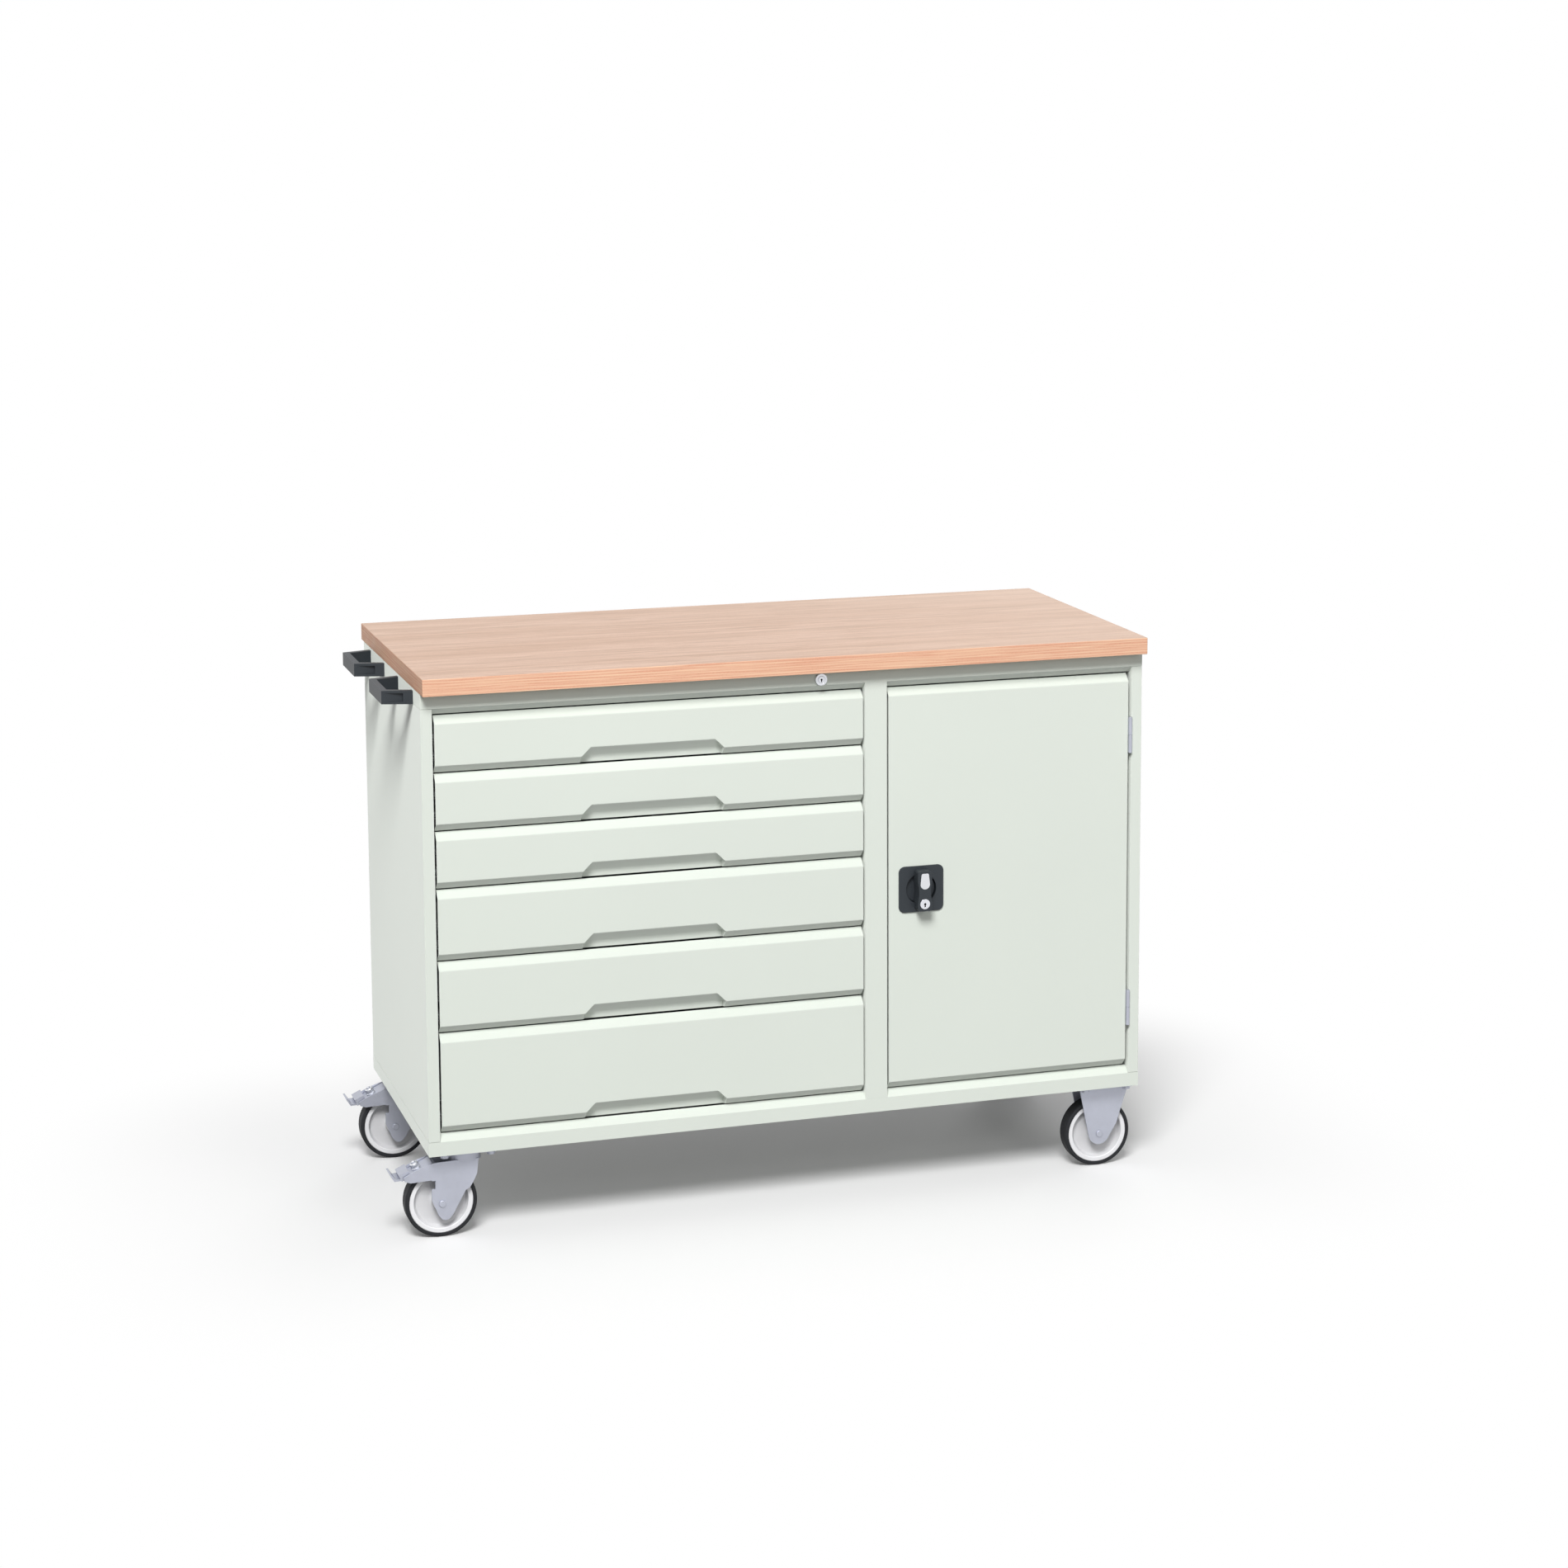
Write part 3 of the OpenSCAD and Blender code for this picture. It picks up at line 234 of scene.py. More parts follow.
class Finish:
    """A material: a Principled shader, with one way to add any node in front of it."""

    def __init__(self, name, **constants):
        self.material = bpy.data.materials.new(name)
        self.material.use_nodes = True
        self.tree = self.material.node_tree
        self.tree.nodes.clear()
        self.shader = self.tree.nodes.new("ShaderNodeBsdfPrincipled")
        self.output = self.tree.nodes.new("ShaderNodeOutputMaterial")
        self.tree.links.new(self.shader.outputs["BSDF"], self.output.inputs["Surface"])
        self.set(**constants)

    def feed(self, socket, value):
        """Links a wire to a socket, or sets the socket to a plain value."""
        if isinstance(value, Wire):
            self.tree.links.new(value.socket, socket)
        elif socket.type == "RGBA" and len(value) == 3:
            socket.default_value = (*value, 1)
        else:
            socket.default_value = value

    def node(self, kind, settings=None, values=None, out=0):
        """Adds a node, makes its settings, feeds its sockets and returns one of its outputs."""
        made = self.tree.nodes.new(kind)
        for name, value in (settings or {}).items():
            setattr(made, name, value)
        for socket, value in (values or {}).items():
            self.feed(made.inputs[socket], value)
        return Wire(self, made.outputs[out])

    def place(self, x=1.0, y=1.0, z=1.0):
        """Object coordinates, in metres, stretched along each axis."""
        at = self.node("ShaderNodeTexCoord", out="Object")
        return self.node("ShaderNodeVectorMath", {"operation": "MULTIPLY"}, {0: at, 1: (x, y, z)})

    def axis(self, name):
        """One object coordinate, in metres."""
        return self.node("ShaderNodeSeparateXYZ", None, {0: self.place()}, name)

    def noise(self, at, scale, detail=2.0, rough=0.5, twist=0.0):
        """Cloudy noise between 0 and 1."""
        return self.node("ShaderNodeTexNoise", None, {
            "Vector": at, "Scale": scale, "Detail": detail,
            "Roughness": rough, "Distortion": twist})

    def ramp(self, value, low, high):
        """0 below low, 1 above high and smooth between."""
        return self.node("ShaderNodeMapRange", {"interpolation_type": "SMOOTHSTEP"},
                         {"Value": value, "From Min": low, "From Max": high})

    def mix(self, share, first, second):
        """Two colours, the second one by the given share. The node's sockets are known by number: 0
        for the share, 6 and 7 for the colours, and 2 for their mix."""
        return self.node("ShaderNodeMix", {"data_type": "RGBA"}, {0: share, 6: first, 7: second}, 2)

    def bump(self, height, depth):
        """A surface whose relief is height times depth, in metres."""
        return self.node("ShaderNodeBump", None, {"Distance": depth, "Height": height})

    def set(self, **sockets):
        """Feeds the shader and returns the material."""
        for name, value in sockets.items():
            self.feed(self.shader.inputs[name.replace("_", " ")], value)
        return self.material


def shade(colour, factor):
    """A colour, lighter or darker by a factor."""
    return tuple(min(c * factor, 1.0) for c in colour)


# In the finishes, a noise's scale is per metre and a bump's depth in metres. Shares, roughness and
# the steps of a ramp have no unit.


def powder_coat(name, colour):
    """Powder coat: even colour, a fine orange peel and a soft gloss."""
    f = Finish(name, Diffuse_Roughness=1.0)
    cloud = f.noise(f.place(), 2.2, 3)
    peel = f.noise(f.place(), 420, 2, 0.6)
    grain = f.noise(f.place(), 1900, 1)
    return f.set(
        Base_Color=f.mix(cloud, shade(colour, 0.975), shade(colour, 1.02)),
        Roughness=0.46 + cloud * 0.06 + grain * 0.05,
        Normal=f.bump(peel * 0.7 + grain * 0.3, 0.00006),
    )


def multiplex(name, colours, low, high):
    """Beech multiplex between two heights: a streaked face, and a stack of plies in the edges.
    Painted light makes the face paler towards the right rear corner, and a few small knots are in
    both."""
    f = Finish(name)
    broad = f.ramp(f.noise(f.place(0.8, 13, 13), 1, 4, 0.6, 0.6), 0.36, 0.64)
    streak = f.ramp(f.noise(f.place(2.4, 62, 62), 1, 5, 0.62, 0.8), 0.36, 0.6)
    fibre = f.ramp(f.noise(f.place(16, 700, 700), 1, 2), 0.5, 0.74)
    fleck = f.ramp(f.noise(f.place(150, 1300, 1300), 1, 1), 0.63, 0.72)
    face = f.mix(broad * 0.45 + streak * 0.55, colours.beech_dark, colours.beech)
    dash = f.ramp(f.noise(f.place(7, 150, 150), 1, 3, 0.6, 0.5), 0.52, 0.68)
    face = f.mix(dash * 0.62, face, shade(colours.beech_dark, 0.84))
    face = f.mix(fibre * 0.4, face, shade(colours.beech_dark, 0.8))
    face = f.mix(fleck * 0.35, face, shade(colours.glue, 0.6))

    wave = f.noise(f.place(4, 4, 25), 1, 2) - 0.5
    layer = (f.axis("Z") - low) * (PLIES / (high - low)) + wave * 3.0
    number = layer.math("FLOOR", layer)
    within = layer - number
    # An even number is added, so that the remainder is never negative
    odd = layer.math("MODULO", number + 2.0 * PLIES, 2.0)
    tint = f.node("ShaderNodeTexWhiteNoise", {"noise_dimensions": "1D"}, {"W": number})
    line = f.ramp(abs(within - 0.5), 0.34, 0.48)
    drift = f.ramp(f.noise(f.place(7, 7, 330), 1, 3, 0.55, 0.7), 0.4, 0.6)
    long_grain = f.ramp(f.noise(f.place(12, 12, 1200), 1, 3, 0.6), 0.35, 0.65)
    end_grain = f.ramp(f.noise(f.place(300, 300, 500), 1, 2, 0.6), 0.4, 0.7)
    along = f.mix(long_grain * 0.4, colours.ply_pale, colours.ply_red)
    across = f.mix(end_grain * 0.5, colours.ply_red, colours.glue)
    edge = f.mix(odd * 0.45 + drift * 0.55, along, across)
    edge = f.mix(tint * 0.3, edge, colours.ply_pale)
    edge = f.mix(line * 0.35, edge, colours.glue)

    knot_at = f.node("ShaderNodeTexVoronoi", None, {"Vector": f.place(1, 1.6, 4), "Scale": 3.2})
    knot = 1 - f.ramp(knot_at, 0.008, 0.03)

    normal = f.node("ShaderNodeNewGeometry", out="Normal")
    up = f.node("ShaderNodeSeparateXYZ", None, {0: normal}, "Z")
    flat = f.ramp(abs(up), 0.5, 0.8)
    # Painted light: the face turns paler towards the right and the rear, where more light falls on
    # it
    painted_light_share = f.ramp(f.axis("X"), -0.2, 1.0) * 0.7 + f.ramp(f.axis("Y"), -0.1, 0.4) * 0.3
    face = f.mix(painted_light_share * 0.42, face, colours.painted_light_beech)
    colour = f.mix(flat, edge, face)
    colour = f.mix(knot * 0.75, colour, srgb(132, 88, 60))
    relief = (streak * 0.4 + fibre * 0.6) * flat + (line * -0.6 + end_grain * 0.4) * (1 - flat)
    return f.set(
        Base_Color=colour,
        Roughness=0.5 + streak * 0.1 + fibre * 0.08 - knot * 0.1,
        Normal=f.bump(relief, 0.00012),
    )


def moulded_plastic(name, colour, rough=0.42):
    """Moulded plastic: a fine spark-eroded grain and a soft sheen."""
    f = Finish(name, Specular_IOR_Level=0.35)
    grain = f.noise(f.place(), 1500, 2, 0.7)
    cloud = f.noise(f.place(), 14, 3)
    return f.set(
        Base_Color=f.mix(cloud, shade(colour, 0.9), shade(colour, 1.1)),
        Roughness=rough + grain * 0.12,
        Normal=f.bump(grain, 0.00005),
    )


def plated_steel(name, colour, rough, metal, cells=0.0):
    """Plated sheet: a metal with faint cells or clouds and fine rolling lines."""
    f = Finish(name, Metallic=metal)
    cloud = f.noise(f.place(), 26, 4, 0.6)
    rolled = f.noise(f.place(30, 700, 700), 1, 2)
    cell = f.node("ShaderNodeTexVoronoi", None, {"Vector": f.place(), "Scale": 130.0}, "Color")
    body = f.mix(cloud, shade(colour, 0.88), shade(colour, 1.1))
    grey = f.node("ShaderNodeSeparateColor", None, {0: cell}, "Red")
    body = f.mix(grey * cells, body, shade(colour, 1.2))
    return f.set(
        Base_Color=body,
        Roughness=rough + cloud * 0.14 + grey * (cells * 0.3),
        Normal=f.bump(rolled * 0.5 + cloud * 0.5, 0.00004),
    )


def polished_chrome(name, colour):
    """Chrome: a near mirror with a trace of polishing, with painted shade, near black, where the
    mark bore is 1.
    """
    f = Finish(name, Metallic=0.75)
    trace = f.noise(f.place(900, 40, 900), 1, 2)
    # Painted shade: the keyway's walls are near black, as the shade inside a narrow slot
    bore = f.node("ShaderNodeAttribute", {"attribute_name": "bore"}, out="Fac")
    return f.set(
        Base_Color=f.mix(bore, f.mix(trace, colour, shade(colour, 1.1)), (0.01, 0.01, 0.01)),
        Roughness=0.14 + trace * 0.12 + bore * 0.4,
    )


def moulded_rim(name, colour):
    """White polyamide with faint flow marks, with painted shade darkening the web and painted light
    brightening the outer ring, where the mark ring is 1.
    """
    f = Finish(name)
    flow = f.noise(f.place(30, 30, 30), 1, 4, 0.6, 0.8)
    grain = f.noise(f.place(), 1300, 2)
    ring = f.node("ShaderNodeAttribute", {"attribute_name": "ring"}, out="Fac")
    # Painted shade on the web and painted light on the outer ring: one white plastic, in a shaded
    # and a lit copy
    web = f.mix(flow, shade(colour, 0.82), shade(colour, 0.92))
    return f.set(
        Base_Color=f.mix(ring, web, shade(colour, 1.15)),
        Roughness=0.34 + flow * 0.1,
        Normal=f.bump(grain, 0.00003),
    )


def tyre_rubber(name, colour):
    """Rubber: matt, a little dusty, with a fine skin."""
    f = Finish(name, Specular_IOR_Level=0.25)
    dust = f.noise(f.place(), 60, 5, 0.7)
    grain = f.noise(f.place(), 1100, 3)
    return f.set(
        Base_Color=f.mix(dust, shade(colour, 0.85), shade(colour, 1.35)),
        Roughness=0.55 + dust * 0.2,
        Normal=f.bump(grain, 0.00008),
    )


def make_finishes(colours):
    """One material for each of the record's slots, and one for the knob's inlay."""
    low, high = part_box("worktop")
    return {
        "body_paint": powder_coat("powder_coat", colours.paint),
        "worktop_wood": multiplex("beech_multiplex", colours, low.z, high.z),
        "dark_plastic": moulded_plastic("moulded_plastic", colours.moulded),
        "inlay": moulded_plastic("pale_inlay", colours.inlay, rough=0.3),
        "zinc_steel": plated_steel("zinc_plate", colours.zinc, rough=0.34, metal=0.6, cells=0.12),
        "bright_steel": plated_steel("bright_steel", colours.steel, rough=0.26, metal=0.8),
        "tray_steel": plated_steel(
            "galvanised_sheet", colours.rail_steel, rough=0.38, metal=0.7, cells=0.4),
        "lock_chrome": polished_chrome("polished_chrome", shade(colours.steel, 1.2)),
        "rim_plastic": moulded_rim("moulded_rim", colours.rim),
        "tyre_rubber": tyre_rubber("tyre_rubber", colours.rubber),
    }


# Filled by the first operator that runs
FINISH = {}


# ---- Shapes ----


def grid_faces(rows, columns, close_rows=False, close_columns=False):
    """Quads between neighbours of a grid whose points are numbered row by row."""
    row = np.arange(rows if close_rows else rows - 1)[:, None]
    column = np.arange(columns if close_columns else columns - 1)[None, :]
    after_row = (row + 1) % rows
    after_column = (column + 1) % columns
    corners = [row * columns + column, row * columns + after_column,
               after_row * columns + after_column, after_row * columns + column]
    return np.stack(np.broadcast_arrays(*corners), -1).reshape(-1, 4).tolist()


def fillet(points, radius, steps=4):
    """A closed outline with its corners rounded: each corner becomes an arc about the point that
    lies radius away from both sides, from one tangent point to the other."""
    here = np.asarray(points, float)
    radius = np.broadcast_to(np.asarray(radius, float), len(here))[:, None]
    back = np.roll(here, 1, 0) - here
    ahead = np.roll(here, -1, 0) - here
    back /= np.linalg.norm(back, axis=1, keepdims=True)
    ahead /= np.linalg.norm(ahead, axis=1, keepdims=True)
    half = np.arccos(np.clip((back * ahead).sum(1, keepdims=True), -1, 1)) / 2
    middle = back + ahead
    middle /= np.linalg.norm(middle, axis=1, keepdims=True)
    centre = here + middle * radius / np.sin(half)
    start = here + back * radius / np.tan(half) - centre
    end = here + ahead * radius / np.tan(half) - centre
    share = np.linspace(0, 1, steps + 1)[None, :, None]
    swing = (math.pi - 2 * half)[:, None, :]
    arc = start[:, None] * np.sin((1 - share) * swing) + end[:, None] * np.sin(share * swing)
    return (centre[:, None] + arc / np.sin(swing)).reshape(-1, 2)


def inset(outline, distance):
    """The outline moved inwards: each point along the mitre of its two sides' normals."""
    side = np.roll(outline, -1, 0) - outline
    normal = np.stack([side[:, 1], -side[:, 0]], 1) / np.linalg.norm(side, axis=1, keepdims=True)
    before = np.roll(normal, 1, 0)
    mitre = (normal + before) / (1 + (normal * before).sum(1, keepdims=True))
    return outline - mitre * distance


def prism(outline, axis, low, high, edge, steps=3):
    """An outline carried along the y or z axis, closed at both ends. Its end edges are rounded:
    towards an end the outline shrinks along a quarter circle of the edge's radius."""
    outline = np.asarray(outline, float)
    if axis == "y":
        outline = outline[:, ::-1]
    x, y = outline[:, 0], outline[:, 1]
    if (x * np.roll(y, -1) - y * np.roll(x, -1)).sum() < 0:
        outline = outline[::-1]
    turn = np.linspace(0, math.pi / 2, steps + 1)
    shrink = edge * (1 - np.sin(turn))
    along = edge * (1 - np.cos(turn))
    flat = np.concatenate([inset(outline, s) for s in (*shrink, *shrink[::-1])])
    height = np.concatenate([low + along, (high - along)[::-1]])
    rings, count = len(height), len(outline)
    order = {"y": (1, 2, 0), "z": (0, 1, 2)}[axis]
    points = np.column_stack([flat, np.repeat(height, count)])[:, order]
    faces = grid_faces(rings, count, close_columns=True)
    last = (rings - 1) * count
    faces.append(list(range(count))[::-1])
    faces.append(list(range(last, last + count)))
    return points, faces


def box_outline(x0, x1, y0, y1):
    """The four corners of a rectangle, anticlockwise."""
    return [(x0, y0), (x1, y0), (x1, y1), (x0, y1)]


def lathe(profile, centre, axis="y", steps=96, close=True):
    """A profile of radius and length turned once round a y or z axis through centre. The profile is
    a closed loop, or else it starts and ends on the axis."""
    profile = np.asarray(profile, float)
    angle = np.linspace(0, 2 * math.pi, steps, endpoint=False)
    radius, along = profile[:, :1], profile[:, 1:]
    across = [radius * np.cos(angle), radius * np.sin(angle)]
    along = np.broadcast_to(along, across[0].shape)
    parts = {"y": (across[0], along, across[1]), "z": (*across, along)}[axis]
    points = np.stack(parts, -1).reshape(-1, 3) + np.asarray(centre)
    return points, grid_faces(len(profile), steps, close_rows=close, close_columns=True)


def soft_ramp(distance, radius):
    """Zero before a fold and the distance after it, with a hyperbola of that radius between."""
    return (distance + np.sqrt(distance ** 2 + radius ** 2)) / 2


def stations(*runs):
    """Rising grid positions from runs of (start, end, count)."""
    return np.unique(np.concatenate([np.linspace(a, b, n) for a, b, n in runs]).round(6))


def about(fold, count):
    """A run of grid positions close about a fold."""
    return fold - NEAR_FOLD, fold + NEAR_FOLD, count


def bevelled_depth(height, total, sizes):
    """Depth of a front's face at each height: zero in the middle, and a bevel's slope times the
    distance past its fold along the foot and the top."""
    slope = sizes.bevel_d / sizes.bevel_h
    fold = sizes.fold_radius * 0.5
    low = soft_ramp((sizes.bevel_h - height) * slope, fold)
    high = soft_ramp((sizes.bevel_h - total + height) * slope, fold)
    return low + high


def grip_depth(height, sizes):
    """Depth of the finger grip at each height: an upright strip, an eighth of a circle and a slope
    of 45 degrees out to the face."""
    bend = sizes.grip_bend
    start = sizes.grip_h - sizes.grip_d - bend * math.tan(math.pi / 8)
    turn = bend * math.sin(math.pi / 4)
    rise = np.clip(height - start, 0, turn)
    curve = sizes.grip_d - bend + np.sqrt(bend ** 2 - rise ** 2)
    slope = soft_ramp(sizes.grip_h - height, sizes.fold_radius * 0.5)
    return np.where(height < start + turn, curve, slope)


def end_round(distance, radius):
    """How far the face falls back next to an end: a quarter circle of the fold's radius."""
    left = radius - np.clip(distance, 0, radius)
    return radius - np.sqrt(np.clip(radius ** 2 - left ** 2, 0, None))


def boundary(rows, columns):
    """Grid numbers round the border, anticlockwise from the first."""
    first = np.arange(columns)
    right = np.arange(1, rows) * columns + columns - 1
    top = (rows - 1) * columns + np.arange(columns - 1)[::-1]
    left = np.arange(1, rows - 1)[::-1] * columns
    return np.concatenate([first, right, top, left])


def drawn_in(ring, margin, size):
    """A ring of points kept a margin away from the ends, the foot and the top of a front."""
    ring = ring.copy()
    ring[:, ::2] = np.clip(ring[:, ::2], margin, size[::2] - margin)
    return ring


def walls(rings):
    """Quads between each ring of point numbers and the next."""
    faces = []
    for a, b in zip(rings, rings[1:]):
        faces += np.stack([np.roll(a, -1), a, b, np.roll(b, -1)], 1).tolist()
    return faces


def drawer_front(low, high, sizes):
    """A drawer front: a grid of width and height whose depth is the bevels' depth, and inside the
    grip's outline the grip's. The outline's sloping ends bend the grid's columns along with them,
    and the depth passes from one to the other by a smooth cubic across a narrow wall. Behind the
    sheet's thickness the body is smaller all round, so that a gap looks into the dark."""
    width, depth, height = size = high - low
    radius = sizes.fold_radius
    foot, grip, top = sizes.bevel_h, sizes.grip_h, height - sizes.bevel_h
    z = stations((0, foot - NEAR_FOLD, 12), about(foot, 11),
                 (foot + NEAR_FOLD, grip - NEAR_FOLD, 6), about(grip, 9),
                 (grip + NEAR_FOLD, top - NEAR_FOLD, 4), about(top, 9),
                 (top + NEAR_FOLD, height, 3))
    # Half the wall's width, and the least distances of the face and the lip from the rear
    wall, face_gap, lip_gap = 1.1, 1, 0.5
    ends = np.concatenate([radius * (1 - np.cos(np.linspace(0, math.pi / 2, 6))), [radius * 2]])
    reach = sizes.grip_w / 2 - np.clip(z - foot, 0, grip - foot)
    outer = ends[None, :] + 0 * z[:, None]
    edge = (width / 2 - reach)[:, None]
    between = outer[:, -1:] + (edge - wall - outer[:, -1:]) * np.linspace(0, 1, 6)[None, 1:]
    across = edge + np.linspace(-wall, wall, 9)[None, 1:]
    inner = edge + wall + (width / 2 - edge - wall) * np.linspace(0, 1, 5)[None, 1:]
    x = np.concatenate([outer, between, across, inner], 1)
    x = np.concatenate([x, width - x[:, -2::-1]], 1)
    z = np.broadcast_to(z[:, None], x.shape)
    inside = np.clip((reach[:, None] - abs(x - width / 2) + wall) / (2 * wall), 0, 1)
    inside = inside * inside * (3 - 2 * inside)
    y = bevelled_depth(z, height, sizes)
    y = y + (np.maximum(grip_depth(z, sizes), y) - y) * inside
    y = np.minimum(y + end_round(x, radius) + end_round(width - x, radius), depth - face_gap)
    face = np.stack([x, y, z], -1).reshape(-1, 3)
    rim = boundary(*x.shape)
    lip = face[rim] + (0, sizes.sheet, 0)
    lip[:, 1] = np.minimum(lip[:, 1], depth - lip_gap)
    waist = drawn_in(lip, sizes.recess, size)
    rear = waist.copy()
    rear[:, 1] = depth
    count = len(rim)
    first = len(face) + np.arange(count)
    faces = grid_faces(*x.shape) + walls([rim, first, first + count, first + 2 * count])
    faces.append((first + 2 * count).tolist()[::-1])
    return np.concatenate([face, lip, waist, rear]) + low, faces


def door_skin(low, high, sizes, hole):
    """The folded skin of the door as one sheet: its face, its four edges and the hem behind them.
    The face is a grid whose depth is the bevels' depth. The hole for the lock's cup, given by its
    left, right, lower and upper side, is left out."""
    width, depth, height = size = high - low
    radius = sizes.fold_radius
    foot, top = sizes.bevel_h, height - sizes.bevel_h
    left, right, lower, upper = hole
    z = stations((0, foot - NEAR_FOLD, 3), about(foot, 9), (foot + NEAR_FOLD, lower, 3),
                 (lower, upper, 3), (upper, top - NEAR_FOLD, 3), about(top, 9),
                 (top + NEAR_FOLD, height, 3))
    ends = radius * (1 - np.cos(np.linspace(0, math.pi / 2, 6)))
    between = np.linspace(right, width - radius, 5)[1:-1]
    x, z = np.meshgrid(np.concatenate([ends, [left, right], between, (width - ends)[::-1]]), z)
    y = bevelled_depth(z, height, sizes) + end_round(x, radius) + end_round(width - x, radius)
    face = np.stack([x, y, z], -1).reshape(-1, 3)
    rim = boundary(*x.shape)
    lip = face[rim] + (0, sizes.sheet, 0)
    waist = drawn_in(lip, sizes.recess, size)
    rear = waist.copy()
    rear[:, 1] = depth
    hem = drawn_in(rear, sizes.hem, size)
    quads = np.array(grid_faces(*x.shape))
    across, _, up = face[quads].mean(1).T
    inside = (across > left) & (across < right) & (up > lower) & (up < upper)
    count = len(rim)
    rings = [rim, *(len(face) + np.arange(count) + turn * count for turn in range(4))]
    faces = quads[~inside].tolist() + walls(rings)
    return np.concatenate([face, lip, waist, rear, hem]) + low, faces


# ---- Pieces ----


def link(name, mesh, nodes, finish, added=False):
    """A new object that stands for its CAD nodes, or is added to them. It rides on their body and
    takes their slot's finish, or the finish that is named."""
    piece = bpy.data.objects.new(name, mesh)
    bpy.context.scene.collection.objects.link(piece)
    mesh.materials.clear()
    mesh.materials.append(FINISH[finish or SLOT_OF[nodes[0]]])
    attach(piece, BODY_OF[nodes[0]])
    if not added:
        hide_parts(*nodes)
    return piece


def even_shading(piece):
    """Smooth shading that leaves flat faces flat, with sharp edges past an angle."""
    piece.data.shade_smooth()
    piece.data.set_sharp_from_angle(angle=math.radians(SHARP))
    normals = piece.modifiers.new("Even shading", "WEIGHTED_NORMAL")
    normals.keep_sharp = True


def new_piece(name, points, faces, *nodes, finish=None, closed=True, added=False):
    """A mesh of points in millimetres from the cabinet's corner and faces of their numbers."""
    mesh = bpy.data.meshes.new(name)
    mesh.from_pydata(points * MM + CORNER, [], faces)
    work = bmesh.new()
    work.from_mesh(mesh)
    bmesh.ops.remove_doubles(work, verts=work.verts, dist=SAME_DRAWN)
    if closed:
        bmesh.ops.recalc_face_normals(work, faces=work.faces)
    work.to_mesh(mesh)
    work.free()
    piece = link(name, mesh, nodes, finish, added)
    even_shading(piece)
    return piece


def softened(node, edge, finish=None, reshape=None):
    """A merged copy of a CAD node with its edges rounded by a radius in millimetres, which stands
    for the node. First, a function may reshape the merged points, given in millimetres from the
    cabinet's corner."""
    mesh = frame["nodes"][node].data.copy()
    mesh.name = node + "_skin"
    work = bmesh.new()
    work.from_mesh(mesh)
    bmesh.ops.remove_doubles(work, verts=work.verts, dist=SAME_CAD)
    if reshape:
        work.to_mesh(mesh)
        points = np.empty(len(mesh.vertices) * 3)
        mesh.vertices.foreach_get("co", points)
        points = reshape((points.reshape(-1, 3) - CORNER) / MM) * MM + CORNER
        mesh.vertices.foreach_set("co", points.ravel())
        work.clear()
        work.from_mesh(mesh)
        bmesh.ops.remove_doubles(work, verts=work.verts, dist=SAME_CAD)
    bmesh.ops.dissolve_limit(
        work, angle_limit=math.radians(FLAT), verts=work.verts, edges=work.edges)
    work.to_mesh(mesh)
    work.free()
    piece = link(node + "_skin", mesh, [node], finish)
    bevel = piece.modifiers.new("Rounded edges", "BEVEL")
    bevel.width = edge * MM
    bevel.segments = 2
    bevel.limit_method = "ANGLE"
    bevel.angle_limit = math.radians(ROUNDED)
    even_shading(piece)
    return piece


def mark(piece, name, test):
    """A face attribute that is 1 where the test of the face centres, in millimetres from the
    cabinet's corner, holds and 0 elsewhere."""
    faces = piece.data.polygons
    centre = np.empty(len(faces) * 3)
    faces.foreach_get("center", centre)
    share = piece.data.attributes.new(name, "FLOAT", "FACE")
    share.data.foreach_set("value", test((centre.reshape(-1, 3) - CORNER) / MM).astype(float))


def dress(*nodes):
    """Gives CAD nodes whose shape is right the finish of their slot."""
    for node in nodes:
        mesh = frame["nodes"][node].data
        mesh.materials.clear()
        mesh.materials.append(FINISH[SLOT_OF[node]])


class BenchOperator:
    """Shared settings of the operators below."""

    bl_options = {"REGISTER", "UNDO"}

    def execute(self, context):
        if not FINISH:
            FINISH.update(make_finishes(context.scene.bench_colours))
        self.build(context.scene.bench_sizes)
        return {"FINISHED"}


class BENCH_OT_worktop(BenchOperator, bpy.types.Operator):
    """Makes the multiplex worktop with its sanded edges"""

    bl_idname = "bench.worktop"
    bl_label = "Worktop"

    def build(self, sizes):
        low, high = span("worktop")
        outline = fillet(box_outline(low[0], high[0], low[1], high[1]), sizes.worktop_edge)
        board = prism(outline, "z", low[2], high[2], sizes.worktop_edge)
        new_piece("worktop_board", *board, "worktop")


class BENCH_OT_cabinet(BenchOperator, bpy.types.Operator):
    """Makes the cabinet: top frame, side sheets with their posts, middle post, back and base"""

    bl_idname = "bench.cabinet"
    bl_label = "Cabinet"

    def build(self, sizes):
        low, high = span("left_side")
        post, depth, _ = high - low
        sheet = sizes.sheet
        face = post - sheet
        # The posts' inner flanges, and the radius inside a fold and at a cut edge
        flange, inner = 50, 0.3
        plan = np.array([
            (0, 0), (post, 0), (post, flange), (face, flange), (face, sheet), (sheet, sheet),
            (sheet, depth - sheet), (face, depth - sheet), (face, depth - flange),
            (post, depth - flange), (post, depth), (0, depth)])
        outline = fillet(plan, [sizes.fold_radius] * 2 + [inner] * 8 + [sizes.fold_radius] * 2)
        mirrored = np.column_stack([span("right_side")[1][0] - outline[:, 0], outline[:, 1]])
        for node, section in (("left_side", outline), ("right_side", mirrored)):
            side = prism(section, "z", low[2] + sizes.seam, high[2] - sizes.seam, sizes.sheet_edge)
            new_piece(node + "_sheet", *side, node)
        for node in ("top_frame", "base_tray", "partition", "back_panel"):
            softened(node, sizes.sheet_edge)


